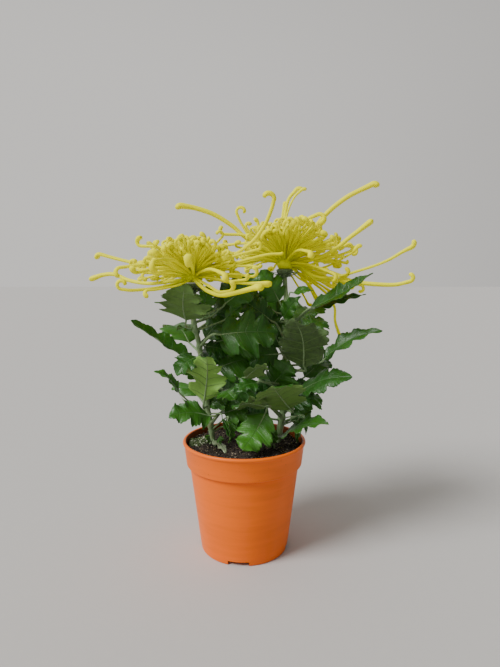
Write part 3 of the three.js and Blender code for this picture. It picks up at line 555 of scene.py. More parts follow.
def line_length(points):
    return float(np.linalg.norm(np.diff(points, axis=0), axis=1).sum())


def directions(points):
    """Unit tangents of a line of points."""
    steps = np.gradient(points, axis=0)
    return steps / np.maximum(np.linalg.norm(steps, axis=1, keepdims=True), TINY)


def new_object(name, points, faces):
    """Puts a mesh with points in millimetres into the scene."""
    mesh = bpy.data.meshes.new(name)
    mesh.from_pydata((points * MM).tolist(), [], faces)
    mesh.update()
    made = bpy.data.objects.new(name, mesh)
    bpy.context.scene.collection.objects.link(made)
    return made


class Skin:
    """Collects the points and faces of one piece in millimetres, with a finish for each face and marks
    that the finishes read at each point."""

    def __init__(self):
        self.points = []
        self.faces = []
        self.finishes = []
        self.marks = []
        self.count = 0

    def rings(self, rings, finish, marks=(0, 0, 0), closed_ends=True):
        """Adds a skin over closed rings of points, shape (rings, sides, 3), with one finish or one a side."""
        count, sides = rings.shape[:2]
        ring, side = np.meshgrid(np.arange(count - 1), np.arange(sides), indexing="ij")
        corner = ring * sides + side
        beside = ring * sides + (side + 1) % sides
        faces = np.stack([corner, beside, beside + sides, corner + sides], -1).reshape(-1, 4) + self.count
        self.faces += faces.tolist()
        self.finishes += np.broadcast_to(finish, (count - 1, sides)).reshape(-1).tolist()
        if closed_ends:
            last = self.count + (count - 1) * sides
            self.faces.append(list(range(self.count + sides - 1, self.count - 1, -1)))
            self.faces.append(list(range(last, last + sides)))
            self.finishes += [int(np.ravel(finish)[-1])] * 2
        self.points.append(rings.reshape(-1, 3))
        self.marks.append(np.broadcast_to(np.asarray(marks, float), rings.shape).reshape(-1, 3))
        self.count += count * sides

    def tube(self, points, radii, sides, finish, marks=(0, 0, 0), ridges=0.0):
        """Adds a tube of changing radius, with every second edge drawn in by the ridges' share."""
        points = np.asarray(points, float)
        along = directions(points)
        across = across_to(np.array((0.31, 0.86, 0.4)), along[0])
        turns = even_turns(sides)
        shape = 1 - ridges * (np.arange(sides) % 2)
        rings = []
        for point, way, radius in zip(points, along, np.broadcast_to(radii, len(points))):
            across = across_to(across, way)
            beside = np.cross(way, across)
            around = np.outer(np.cos(turns) * shape, across) + np.outer(np.sin(turns) * shape, beside)
            rings.append(point + around * radius)
        self.rings(np.array(rings), finish, marks)

    def lathe(self, profile, sides, finish, center=(0, 0, 0), marks=(0, 0, 0)):
        """Adds a solid of revolution from radius and height pairs that start and end near the axis."""
        turns = even_turns(sides)
        radii, heights = np.array(profile, float).T
        rings = np.stack([np.outer(radii, np.cos(turns)), np.outer(radii, np.sin(turns)),
                          np.repeat(heights[:, None], sides, 1)], -1)
        self.rings(rings + np.array(center, float), finish, marks)

    def loose_piece(self, name):
        """Makes an object that is only used to shape another piece."""
        return new_object(name, np.concatenate(self.points), self.faces)

    def piece(self, name, finishes, node):
        """Makes the piece in the scene, riding on the body and standing for its node."""
        made = new_object(name, np.concatenate(self.points), self.faces)
        mesh = made.data
        for finish in finishes:
            mesh.materials.append(finish)
        mesh.polygons.foreach_set("material_index", self.finishes)
        mesh.polygons.foreach_set("use_smooth", [True] * len(mesh.polygons))
        marks = mesh.attributes.new("marks", "FLOAT_VECTOR", "POINT")
        marks.data.foreach_set("vector", np.concatenate(self.marks).ravel())
        mesh.validate()
        mesh.update()
        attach(made, BODY)
        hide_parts(node)
        return made


class Nodes:
    """Puts procedural nodes together in a tree."""

    def __init__(self, tree):
        self.tree = tree

    def node(self, kind, settings=None, **inputs):
        """Adds a node, with settings by name and inputs by socket name."""
        made = self.tree.nodes.new(kind)
        for name, value in (settings or {}).items():
            setattr(made, name, value)
        for name, value in inputs.items():
            self.put(made.inputs[name.replace("_", " ")], value)
        return made

    def put(self, socket, value):
        """Links a socket to another, or sets its value."""
        if isinstance(value, bpy.types.NodeSocket):
            self.tree.links.new(value, socket)
        else:
            socket.default_value = value

    def math(self, operation, first, second=0.0, clamp=False):
        made = self.node("ShaderNodeMath", {"operation": operation, "use_clamp": clamp})
        self.put(made.inputs[0], first)
        self.put(made.inputs[1], second)
        return made.outputs[0]

    def range(self, value, low, high, to_low=0.0, to_high=1.0):
        """Maps a value smoothly from one range to another."""
        made = self.node("ShaderNodeMapRange", {"interpolation_type": "SMOOTHSTEP"})
        for index, part in enumerate((value, low, high, to_low, to_high)):
            self.put(made.inputs[index], part)
        return made.outputs[0]

    def mix(self, share, first, second):
        """Mixes two colours."""
        made = self.node("ShaderNodeMix", {"data_type": "RGBA"})
        self.put(made.inputs[0], share)
        self.put(made.inputs[6], color(first))
        self.put(made.inputs[7], color(second))
        return made.outputs[2]


class Finish(Nodes):
    """A material whose look comes from procedural nodes and from the marks of a piece."""

    def __init__(self, name):
        self.material = bpy.data.materials.new(name)
        self.material.use_nodes = True
        super().__init__(self.material.node_tree)
        self.shader = next(node for node in self.tree.nodes if node.type == "BSDF_PRINCIPLED")
        marks = self.node("ShaderNodeAttribute", {"attribute_name": "marks"})
        self.marks = self.node("ShaderNodeSeparateXYZ", Vector=marks.outputs["Vector"]).outputs
        self.place = self.node("ShaderNodeTexCoord").outputs["Object"]

    def set(self, **inputs):
        """Sets or links the shader's sockets."""
        for name, value in inputs.items():
            self.put(self.shader.inputs[name.replace("_", " ")], value)

    def noise(self, scale, detail=3.0, stretch=None, roughness=0.5):
        """Noise between 0 and 1, with its scale in cells per metre, stretched along the axes if asked."""
        place = self.place
        if stretch:
            place = self.node("ShaderNodeMapping", Vector=place, Scale=stretch).outputs[0]
        made = self.node("ShaderNodeTexNoise", Vector=place, Scale=scale, Detail=detail, Roughness=roughness)
        return made.outputs["Fac"]

    def bump(self, height, distance, strength):
        made = self.node("ShaderNodeBump", Height=height, Distance=distance, Strength=strength)
        return made.outputs[0]


def color(value):
    """A colour with its fourth part, or a socket as it is."""
    if isinstance(value, bpy.types.NodeSocket):
        return value
    return (*tuple(value)[:3], 1)


def scaled(base, share):
    """A colour made darker or lighter by a share, or by one share for each part."""
    return [part * factor for part, factor in zip(base, np.broadcast_to(share, 3).tolist())]


def leaf_blade(finish, mottling, base, dark, pale, tinted, spent):
    """A blade's colour: mottled, then paler with its tint, and the spent leaf's colour past tint 1.3."""
    tint = finish.marks[2]
    blade = finish.mix(mottling, scaled(base, dark), base)
    blade = finish.mix(finish.math("MULTIPLY", tint, tinted, clamp=True), blade, pale)
    return finish.mix(finish.range(tint, 1.3, 2.0), blade, spent)


def leaf_lines(finish, midrib, vein):
    """Shares of the midrib with its side veins, each by its distances and strength, and of the fine net."""
    to_edge = {"feature": "DISTANCE_TO_EDGE"}
    cells = finish.node("ShaderNodeTexVoronoi", to_edge, Vector=finish.place, Scale=420)
    net = finish.range(cells.outputs["Distance"], 0.0, 0.12, 0.2, 0)
    ribs = finish.range(finish.marks[0], *midrib, 0)
    veins = finish.range(finish.marks[1], *vein, 0)
    return finish.math("MAXIMUM", ribs, veins), net


def leaf_upper_finish(base, vein):
    """Dark, semi-gloss upper side with paler veins and a little mottling."""
    finish = Finish("leaf_upper")
    mottled = finish.noise(260, 4)
    pale = [part + 0.008 for part in scaled(base, (6, 2.8, 2))]
    blade = leaf_blade(finish, finish.range(mottled, 0.35, 0.7), base, 0.55, pale, 0.7, (0.42, 0.5, 0.3))
    lines, net = leaf_lines(finish, (0.3, 0.95, 0.8), (0.1, 0.5, 0.45))
    finish.set(Base_Color=finish.mix(finish.math("MAXIMUM", lines, net), blade, vein))
    finish.set(Roughness=finish.range(mottled, 0.3, 0.75, 0.3, 0.45), Specular_IOR_Level=0.42)
    height = finish.math("SUBTRACT", mottled, finish.math("MULTIPLY", lines, 1.3))
    finish.set(Normal=finish.bump(finish.math("SUBTRACT", height, net), 0.0004, 0.7))
    return finish.material


def leaf_under_finish(base, vein):
    """Matt, downy underside, paler and greyer, with raised veins."""
    finish = Finish("leaf_under")
    mottled = finish.noise(300, 4)
    pale = scaled(base, (4, 3.7, 4))
    blade = leaf_blade(finish, finish.range(mottled, 0.3, 0.7), base, 0.6, pale, 0.8, (0.45, 0.52, 0.33))
    lines = finish.math("MAXIMUM", *leaf_lines(finish, (0.3, 1.2, 0.7), (0.1, 0.55, 0.4)))
    finish.set(Base_Color=finish.mix(lines, blade, vein), Roughness=0.68, Sheen_Weight=0.12)
    finish.set(Normal=finish.bump(finish.math("ADD", mottled, lines), 0.0004, 0.6))
    return finish.material


def stalk_finish(name, base, streak, tip=None):
    """Ribbed green stalk with streaks along it, brown patches and, on a bract, a paler tip."""
    finish = Finish(name)
    streaks = finish.noise(900, 4, (1, 1, 0.06))
    mottled = finish.noise(180, 3)
    blend = finish.mix(finish.range(streaks, 0.35, 0.7), streak, base)
    brown = scaled(base, (0.95, 0.62, 0.55))
    blend = finish.mix(finish.range(mottled, 0.5, 0.75, 0, 0.6), blend, brown)
    if tip:
        blend = finish.mix(finish.range(finish.marks[0], 0.6, 1.0, 0, 0.55), blend, tip)
    finish.set(Base_Color=blend, Roughness=0.55, Sheen_Weight=0.1)
    finish.set(Normal=finish.bump(streaks, 0.0003, 0.6))
    return finish.material


def petal_finish(base):
    """Satin yellow floret: greener root, painted shade in its grooves and open channel, faint streaks."""
    finish = Finish("petal")
    share, groove, tint = finish.marks[0], finish.marks[1], finish.marks[2]
    deep = scaled(base, (0.9, 0.8, 0.5))
    green = scaled(base, (0.76, 0.9, 1))
    # Painted shade: the grooves and the inside of the open channel mix towards the deeper yellow.
    body = finish.mix(finish.math("MULTIPLY", groove, 0.3), base, deep)
    body = finish.mix(finish.math("MULTIPLY", tint, 0.25), body, deep)
    body = finish.mix(finish.range(share, 0.0, 0.3, 0.6, 0), body, green)
    streaks = finish.noise(500, 3)
    finish.set(Base_Color=finish.mix(finish.range(streaks, 0.45, 0.75, 0, 0.1), body, deep))
    finish.set(Roughness=finish.range(streaks, 0.3, 0.7, 0.4, 0.5), Specular_IOR_Level=0.12)
    finish.set(Subsurface_Weight=0.6, Subsurface_Radius=(1.0, 0.95, 0.1), Subsurface_Scale=0.0028)
    finish.set(Normal=finish.bump(streaks, 0.0002, 0.12))
    return finish.material


def pot_finish(base):
    """Satin moulded plastic with faint flow bands, dust at the lip and foot, painted shade on the inner wall
    near the top and a few scuffs.
    """
    finish = Finish("pot_plastic")
    across, back, height = finish.node("ShaderNodeSeparateXYZ", Vector=finish.place).outputs
    bands = finish.noise(60, 2, (0.3, 0.3, 3))
    cloud = finish.noise(14, 4)
    mottling = finish.range(finish.math("ADD", bands, cloud), 0.75, 1.3, 0, 0.6)
    body = finish.mix(mottling, base, scaled(base, 0.82))
    squares = [finish.math("MULTIPLY", part, part) for part in (across, back)]
    # Painted shade: the inner wall near the top is darkened towards near-black brown.
    inner_wall_shade = finish.range(finish.math("ADD", *squares), 0.00326, 0.00332, 0.75, 0)
    inner_wall_shade = finish.math("MULTIPLY", inner_wall_shade, finish.range(height, 0.096, 0.099, 0, 1))
    specks = finish.range(finish.noise(700, 2), 0.71, 0.76, 0, 0.8)
    near_lip = finish.range(height, 0.06, 0.106, 0.0, 1.0)
    near_foot = finish.range(height, 0.0, 0.012, 1.0, 0.0)
    grime = finish.math("MULTIPLY", specks, finish.math("MAXIMUM", near_lip, near_foot), clamp=True)
    # Dust specks near the lip and foot are real; the darkened inner wall is painted shade. Both mix to the
    # same near-black brown.
    body = finish.mix(finish.math("MAXIMUM", grime, inner_wall_shade), body, (0.05, 0.03, 0.02))
    scuffs = finish.range(finish.noise(90, 5, (1, 1, 0.35), 0.7), 0.66, 0.74, 0, 0.35)
    pale = [min(part * 1.25 + 0.03, 1) for part in base]
    finish.set(Base_Color=finish.mix(scuffs, body, pale))
    finish.set(Roughness=finish.range(finish.math("ADD", cloud, scuffs), 0.3, 1.0, 0.38, 0.6))
    fine = finish.noise(2400, 2)
    finish.set(Normal=finish.bump(finish.math("ADD", fine, bands), 0.0001, 0.35), Specular_IOR_Level=0.25)
    return finish.material


def crumb_finish(name, base, other, rough=0.95):
    """Crumbly grain of peat, bark, perlite or moss."""
    finish = Finish(name)
    grain = finish.noise(900, 5, roughness=0.65)
    patches = finish.noise(160, 3)
    body = finish.mix(finish.range(grain, 0.35, 0.7), base, other)
    body = finish.mix(finish.range(patches, 0.45, 0.7, 0, 0.7), body, scaled(base, 0.5))
    finish.set(Base_Color=body, Roughness=rough)
    finish.set(Normal=finish.bump(grain, 0.0012, 0.9))
    return finish.material


def ground_finish(base):
    """Plain pale floor with a barely visible tooth."""
    finish = Finish("floor")
    tooth = finish.noise(120, 3)
    pale = [min(part * 1.03, 1) for part in base]
    finish.set(Base_Color=finish.mix(tooth, base, pale), Roughness=0.9)
    return finish.material


def curled_line(points, towards, radius, turn):
    """Continues a line with an arc that closes in as it turns towards a given way."""
    along = unit(points[-1] - points[-2])
    inward = across_to(np.array(towards, float), along)
    steps = max(2, round(turn / CURL_STEP))
    step = math.radians(turn) / steps
    angles = step * (np.arange(steps) + 0.5)
    lengths = step * radius * (1 - CURL_TIGHTENS * np.arange(steps) / steps)
    moves = np.outer(np.cos(angles) * lengths, along) + np.outer(np.sin(angles) * lengths, inward)
    arc = points[-1] + np.cumsum(moves, axis=0)
    last = unit(inward * math.cos(math.radians(turn)) - along * math.sin(math.radians(turn)))
    return np.vstack([points, arc]), last


def floret_line(path, curl, step):
    """Middle line of a floret, and the unit vectors across it that look into its curl and sideways."""
    points = [(0, 0, 0), *path]
    steps = max(6, round(line_length(smooth_line(points, 24)) / step))
    line, normal = curled_line(smooth_line(points, steps), *curl)
    along = directions(line)
    normals = np.zeros_like(line)
    for index in range(len(line) - 1, -1, -1):
        normal = across_to(normal, along[index])
        normals[index] = normal
    return line, normals, np.cross(along, normals)


def add_floret(skin, side, path, curl, radii, mesh, seed):
    """Adds one floret: a grooved tube that opens into a channel towards its curled, rounded tip. Its curl is
    the way it takes, its radius and its turn in degrees."""
    sides, step = mesh
    line, normals, sideways = floret_line(path, curl, step)
    count = len(line)
    share = np.linspace(0, 1, count)
    widths = np.interp(share, (0, WIDEST_MIDDLE, 1), radii) * np.interp(share, *FLARE)
    closing = np.clip((1 - share) * count / TIP_ROWS, 0, 1)
    widths = widths * np.sqrt(1 - (1 - closing) ** 2 * TIP_CLOSING)
    opened = np.clip((share - CHANNEL_FROM) / (1 - CHANNEL_FROM), 0, 1) ** CHANNEL_POWER
    opened = opened * between(*CHANNEL_DRAW, seed + 0.3)
    turns = even_turns(sides)
    inner = np.clip(np.cos(turns), 0, 1) ** CHANNEL_POWER
    groove = np.arange(sides) % 2
    shape = 1 - GROOVE_DEPTH * groove
    depth = np.cos(turns) * shape - np.outer(opened * CHANNEL_DEPTH, inner)
    spread = np.outer(widths * (1 + FLATTENING * opened), np.sin(turns) * shape)
    rings = line[:, None, :] + normals[:, None, :] * (widths[:, None] * depth)[:, :, None]
    rings = rings + sideways[:, None, :] * spread[:, :, None]
    marks = np.zeros((count, sides, 3))
    marks[:, :, 0] = share[:, None]
    # Second mark: painted shade, in the grooves and inside the opened channel.
    marks[:, :, 1] = groove[None, :] * 0.6 + np.outer(opened, inner) * 0.5
    marks[:, :, 2] = draw(seed + 0.7)
    skin.rings(rings + np.array(HEARTS[side], float), 0, marks)


def aimed(turn, lift, reach):
    """A point at a turn in radians, a lift in degrees and a distance."""
    rise = math.radians(lift)
    level = reach * math.cos(rise)
    return (math.cos(turn) * level, math.sin(turn) * level, reach * math.sin(rise))


def add_short_florets(skin, side, count, curl_share):
    """Adds the dense middle of a bloom: florets in a golden spiral, shorter and steeper at its heart, that
    give way a little where the other bloom is."""
    heart = HEARTS[side]
    other = HEARTS["left" if side == "right" else "right"]
    to_other = math.atan2(other[1] - heart[1], other[0] - heart[0])
    shortest, longest = FAN_LENGTHS[side]
    for index in range(count):
        share = (index + 0.5) / count
        turn = index * GOLDEN_TURN
        facing = max(0, math.cos(turn - to_other))
        seed = index + FAN_SEEDS[side]
        lift = FAN_LIFTS[0] + (FAN_LIFTS[1] - FAN_LIFTS[0]) * share**FAN_LIFT_POWER
        drawn = draws(FAN_DRAWS, seed)
        lift = max(lift + drawn["lift"], -FAN_FRONT_LIFT * math.sin(turn))
        reach = shortest + (longest - shortest) * share**FAN_LENGTH_POWER
        reach = reach * (1 - FAN_GIVE_WAY * facing * share) + drawn["length"]
        bend = FAN_RISE * share + drawn["bend"]
        path = [aimed(turn, lift + bend, reach * 0.5), aimed(turn, lift - FAN_SINK * share, reach)]
        aside = turn + drawn["aside"]
        towards = (-math.cos(aside), -math.sin(aside), drawn["rise"])
        curl = (towards, drawn["hook"], drawn["turn"] * curl_share)
        radii = [radius * drawn["size"] for radius in FAN_RADII]
        add_floret(skin, side, path, curl, radii, SHORT_MESH, seed)


def add_long_florets(skin, side, curl_share):
    """Adds the long florets: those listed one by one, then those of the sides that face away."""
    for index, (path, towards, hook, turn, radii) in enumerate(LONG_FLORETS[side]):
        add_floret(skin, side, path, (towards, hook, turn * curl_share), radii, LONG_MESH, index + LONG_SEED)
    for index, (degrees, reach, rise) in enumerate(ROUND_FLORETS[side]):
        turn = math.radians(degrees)
        path = [(math.cos(turn) * reach * part, math.sin(turn) * reach * part, rise * lifted + extra)
                for part, lifted, extra in ROUND_PATH]
        hook_turn = ROUND_TURNS[index % len(ROUND_TURNS)] * curl_share
        curl = (UP if index % 2 else DOWN, ROUND_HOOK, hook_turn)
        add_floret(skin, side, path, curl, ROUND_RADII, ROUND_MESH, index + ROUND_SEED)


def outline(kind, places, hand, seed):
    """Share of the half width at each place, with rounded lobes and scalloped teeth."""
    xs, ys = np.array(kind["stations"]).T
    cell = np.clip(np.searchsorted(xs, places, side="right") - 1, 0, len(xs) - 2)
    part = (places - xs[cell]) / (xs[cell + 1] - xs[cell])
    ys = ys * np.array([between(*LOBE_DRAW, seed + hand * 7.3 + index) for index in range(len(xs))])
    fullness = np.where(ys[cell + 1] > ys[cell], part, 1 - part)
    rounded = LOBE_ROUNDNESS * np.sin(fullness * math.pi / 2) + (1 - LOBE_ROUNDNESS) * fullness
    fullness = rounded**LOBE_ROUNDNESS
    share = np.minimum(ys[cell], ys[cell + 1]) + np.abs(ys[cell + 1] - ys[cell]) * fullness
    scallop = np.abs(np.sin(places * math.pi * kind["teeth"] + seed + hand)) ** 0.5
    return share * (1 - kind["depth"] * (1 - scallop) * np.clip(places * 8, 0, 1))


def leaf_surface(kind, spec, seed):
    """Points of a blade in rows from base to tip, its normals, and the marks of its veins."""
    _, base, tip, face, wide, arch, fold = spec
    base, tip, face = (np.array(part, float) for part in (base, tip, face))
    reach = tip - base
    length = np.linalg.norm(reach)
    along = reach / length
    up = across_to(face, along)
    side = np.cross(along, up)
    half = wide / 2
    drawn = draws(LEAF_DRAWS, seed)
    places = np.unique(np.concatenate([np.linspace(0, 1, kind["rows"]), kind["veins"]]))
    hands = np.where(COLUMNS < 0, -1, 1)
    shares = np.abs(COLUMNS)
    lean = np.radians(VEIN_LEAN[0] + (VEIN_LEAN[1] - VEIN_LEAN[0]) * places)[:, None]
    edges = {hand: outline(kind, places, hand, seed) * half for hand in (-1, 1)}
    width = np.stack([edges[hand] * share for hand, share in zip(hands, shares)], 1)
    rows = places[:, None]
    out = width * np.sin(lean)
    lift = fold * out + hands * BLADE_TWIST * width * np.sin(rows * BLADE_TWIST_TURNS)
    wave = drawn["wave"] * half * BLADE_WAVE
    lift = lift + wave * shares**2 * np.sin(rows * BLADE_WAVE_TURNS + drawn["phase"] + hands)
    lift = lift - drawn["roll"] * half * shares**4 * np.sin(math.pi * rows) - BLADE_CUP * width**2
    lift = lift + arch * np.sin(math.pi * rows) - drawn["droop"] * length * rows**3
    aside = hands * out + drawn["sway"] * length * np.sin(math.pi * rows)
    onward = width * np.cos(lean) * (1 - rows)
    grid = base + rows[:, :, None] * reach + onward[:, :, None] * along
    grid = grid + aside[:, :, None] * side + lift[:, :, None] * up
    normals = np.cross(np.gradient(grid, axis=1), np.gradient(grid, axis=0))
    normals /= np.maximum(np.linalg.norm(normals, axis=2, keepdims=True), TINY)
    if np.mean(normals @ up) < 0:
        normals = -normals
    nearest = np.min(np.abs(rows - np.array(kind["veins"])), axis=1)[:, None] * length
    marks = np.zeros(grid.shape)
    marks[:, :, 0] = out + rows * 0.5
    marks[:, :, 1] = nearest * np.sin(lean) + shares * 0.25
    return places, grid, normals, marks


def add_blade(skin, grid, normals, marks):
    """Adds the thin skin of a blade, with its upper and its under side."""
    edge = np.clip((1 - np.abs(COLUMNS)) * 4, 0.35, 1)[None, :, None]
    half = normals * LEAF_THICKNESS / 2 * edge
    rings = np.concatenate([grid + half, (grid - half)[:, ::-1]], axis=1)
    finishes = np.array([0] * (len(COLUMNS) - 1) + [1] * (len(COLUMNS) + 1))
    skin.rings(rings, finishes, np.concatenate([marks, marks[:, ::-1]], axis=1))


def add_leaf(skin, kind, spec, stem_line, seed, tint=None):
    """Adds a leaf: blade, petiole with midrib, and side veins."""
    joint, base, tip, _, wide, _, _ = spec
    base, tip = np.array(base, float), np.array(tip, float)
    places, grid, normals, marks = leaf_surface(kind, spec, seed)
    marks[:, :, 2] = draw(seed + 0.15) if tint is None else tint
    add_blade(skin, grid, normals, marks)

    foot = stem_line[np.argmin(np.abs(stem_line[:, 2] - joint))]
    leaving = base - unit(tip - base) * min(8, 0.2 * np.linalg.norm(tip - base))
    stalk = smooth_line([foot, leaving, base], 16)
    rib_rows = np.arange(2, int(len(places) * MIDRIB_END), 3)
    rib = grid[rib_rows, CENTER] - normals[rib_rows, CENTER] * MIDRIB_SINKS
    scale = min(1, wide / FULL_WIDTH)
    stalk_radii = np.linspace(*PETIOLE_RADII, len(stalk)) * (0.45 + 0.55 * scale)
    rib_radii = np.linspace(*MIDRIB_RADII, len(rib)) * scale
    radii = np.concatenate([stalk_radii, rib_radii])
    skin.tube(np.vstack([stalk, rib]), radii, 8, 2, (0, 0, draw(seed)), 0.08)
    for place in kind["veins"]:
        row = int(np.argmin(np.abs(places - place)))
        for hand in (-1, 1):
            order = CENTER + hand * np.arange(CENTER)
            vein = grid[row, order] - normals[row, order] * VEIN_SINKS
            skin.tube(vein, np.linspace(*VEIN_RADII, len(vein)) * scale, 5, 1, (0, 0, 0.5))


def add_stem(skin, side, hair_count):
    """Adds a ribbed stem with swollen joints and short hairs."""
    spec = STEMS[side]
    line = smooth_line(spec["path"], STEM_ROWS)
    radii = np.linspace(*spec["radii"], len(line))
    for joint, *_ in LEAVES[side] + SMALL_LEAVES[side]:
        radii = radii + JOINT_SWELL * np.exp(-(((line[:, 2] - joint) / JOINT_REACH) ** 2))
    skin.tube(line, radii, STEM_SIDES, 2, (0, 0, 0.5), STEM_RIDGES)
    along = directions(line)
    for index in range(hair_count):
        row = int(between(HAIR_FIRST_ROW, len(line) - 1, index + 0.35))
        turn = between(0, 2 * math.pi, index + 0.65)
        across = across_to(np.array((math.cos(turn), math.sin(turn), 0)), along[row])
        root = line[row] + across * radii[row] * 0.95
        reach = across * between(*HAIR_LENGTHS, index + 0.15) + along[row] * HAIR_LEAN
        beside = np.cross(across, along[row]) * HAIR_WIDTH
        rings = np.array([[root + beside, root - beside, root + along[row] * 0.08],
                          [root + reach, root + reach * 1.001, root + reach * 1.002]])
        skin.rings(rings, 3, (0, 0, 1), closed_ends=False)


def add_bract(skin, seat, turn, row, seed):
    """Adds one narrow, pointed bract that leaves the cup outwards."""
    _, start, low, reach, width = row
    drawn = draws(BRACT_DRAWS, seed)
    turn = turn + drawn["turn"] / row[0] * 2 * math.pi
    out = np.array((math.cos(turn), math.sin(turn), 0))
    up = np.array(UP, float)
    far = reach + drawn["reach"]
    rise = drawn["rise"]
    line = seat + smooth_line([out * start + up * low,
                               out * (start + far) * 0.55 + up * (low + rise * 0.2),
                               out * far + up * (low + rise)], 8)
    beside = np.cross(out, up) * (width * np.array(BRACT_WIDTHS))[:, None]
    lift = up * BRACT_THICKNESS
    rings = np.stack([line - beside, line - lift, line + beside, line + lift], 1)
    marks = np.zeros(rings.shape)
    marks[:, :, 0] = np.linspace(0, 1, len(rings))[:, None]
    marks[:, :, 2] = draw(seed)
    skin.rings(rings, 4, marks)


def add_involucre(skin, side):
    """Adds the green cup under a bloom, with overlapping rows of narrow bracts."""
    seat = np.array(HEARTS[side], float) - np.array((0, 0, CORE_DROP + SOIL_GAP))
    skin.lathe(CUP_PROFILE, CUP_SIDES, 4, seat, (0, 0, 0.3))
    for place, row in enumerate(BRACT_ROWS):
        for index in range(row[0]):
            turn = (index + place * 0.4) / row[0] * 2 * math.pi
            add_bract(skin, seat, turn, row, index + place * 20 + BRACT_SEEDS[side])


def arc(center, radius, start, end, steps):
    """Points of an arc in the plane of radius and height, angles in degrees."""
    angles = np.radians(np.linspace(start, end, steps))
    return [(center[0] + radius * math.cos(angle), center[1] + radius * math.sin(angle)) for angle in angles]


def pot_profile():
    """Outline of the pot's wall, from the middle of the plate outside to its middle inside."""
    lip = LIP_DEPTH / 2
    top = POT_HEIGHT - lip
    return [
        (0.05, PLATE_BOTTOM),
        (BASE_RADIUS - FOOT_WIDTH - 0.4, PLATE_BOTTOM),
        (BASE_RADIUS - FOOT_WIDTH, PLATE_BOTTOM - 0.4),
        (BASE_RADIUS - FOOT_WIDTH, 0.3),
        (BASE_RADIUS - FOOT_WIDTH + 0.3, 0),
        (BASE_RADIUS - 0.8, 0),
        *arc((BASE_RADIUS - 0.8, 0.9), 0.9, -90, -8, 5),
        (BASE_RADIUS + 1.2, 8),
        (BODY_TOP - 0.05, COLLAR_BOTTOM - STEP_DEPTH - 1),
        *arc((BODY_TOP + 0.6, COLLAR_BOTTOM - 1.1), 0.6, 185, 100, 4),
        *arc((COLLAR_FOOT - 0.75, COLLAR_BOTTOM + 0.4), 0.8, -95, 4, 6),
        (COLLAR_TOP - 0.05, top - lip - 0.5),
        (COLLAR_TOP + 0.2, top - lip * 0.98),
        *arc((RIM_RADIUS - lip, top), lip, -70, 130, 12),
        *arc((COLLAR_TOP - WALL + 0.9, POT_HEIGHT - 1.2), 0.9, 100, 180, 5),
        (COLLAR_TOP - WALL - 0.1, POT_HEIGHT - 4),
        (COLLAR_FOOT - WALL + 0.2, COLLAR_BOTTOM + 2),
        (COLLAR_FOOT - WALL - 0.4, COLLAR_BOTTOM),
        (BODY_TOP - WALL, COLLAR_BOTTOM - STEP_DEPTH - 1),
        (BASE_RADIUS - WALL + 0.6, PLATE_TOP),
        (0.05, PLATE_TOP),
    ]


def box_skin(center, size, turn):
    """A closed box that stands upright and is turned about the pot's axis."""
    skin = Skin()
    half = np.array(size, float) / 2
    corners = [(-1, -1), (1, -1), (1, 1), (-1, 1)]
    rings = np.array([[(x * half[0], y * half[1], z * half[2]) for x, y in corners] for z in (-1, 1)])
    skin.rings(turned(rings + np.array(center, float), turn), 0)
    return skin


def pot_cutters():
    """The closed pieces that cut the foot's notches and the plate's drain holes."""
    cutters = []
    for turn in NOTCH_TURN + even_turns(NOTCH_COUNT):
        notch = box_skin((BASE_RADIUS, 0, 0), (NOTCH_DEPTH, NOTCH_WIDTH, NOTCH_HEIGHT * 2), turn)
        cutters.append(notch.loose_piece("notch"))
    for turn in even_turns(DRAIN_COUNT):
        drain = Skin()
        center = (DRAIN_CIRCLE * math.cos(turn), DRAIN_CIRCLE * math.sin(turn))
        drain.tube([(*center, 0), (*center, DRAIN_CUT)], DRAIN_RADIUS, 24, 0)
        cutters.append(drain.loose_piece("drain"))
    return cutters


def cut(target, cutters):
    """Cuts closed pieces out of a mesh and removes them."""
    for cutter in cutters:
        change = target.modifiers.new("cut", "BOOLEAN")
        change.operation = "DIFFERENCE"
        change.solver = "EXACT"
        change.object = cutter
    bpy.context.view_layer.update()
    shaped = bpy.data.meshes.new_from_object(target.evaluated_get(bpy.context.evaluated_depsgraph_get()))
    target.modifiers.clear()
    target.data = shaped
    for cutter in cutters:
        bpy.data.objects.remove(cutter)


def soil_height(x, y):
    """Height of the soil's surface: slow waves, small lumps and crumbs."""
    wave = math.sin(x * 0.13 + 1) * math.cos(y * 0.11)
    lump = math.sin(x * 0.37 + y * 0.29)
    rough = noise.fractal(Vector((x * 0.16, y * 0.16, 1.7)), 0.9, 2.1, 5)
    fine = noise.fractal(Vector((x * 0.7, y * 0.7, 5.1)), 0.8, 2.0, 3)
    return SOIL_LEVEL + 0.66 * wave + 0.44 * lump + 0.9 * rough + 0.5 * fine


def add_soil(skin):
    """Adds the soil: straight sides along the pot's wall, then a crumbly surface in rings."""
    wall = WALL + SOIL_GAP
    sides = ((0.1, PLATE_TOP + SOIL_GAP), (BASE_RADIUS - wall + 0.6, PLATE_TOP + SOIL_GAP),
             (BODY_TOP - wall - 0.1, COLLAR_BOTTOM - STEP_DEPTH - 1),
             (COLLAR_FOOT - wall - 0.1, COLLAR_BOTTOM + 0.2))
    turns = even_turns(SOIL_SPOKES)
    rings = [[(radius * math.cos(turn), radius * math.sin(turn), z) for turn in turns] for radius, z in sides]
    for radius in SOIL_EDGE * np.sqrt(np.linspace(1, 0.0005, SOIL_RINGS)):
        sunk = SOIL_EDGE_SINKS * (radius / SOIL_EDGE) ** 12
        spots = [(radius * math.cos(turn), radius * math.sin(turn)) for turn in turns]
        rings.append([(x, y, soil_height(x, y) - sunk) for x, y in spots])
    skin.rings(np.array(rings), 0)


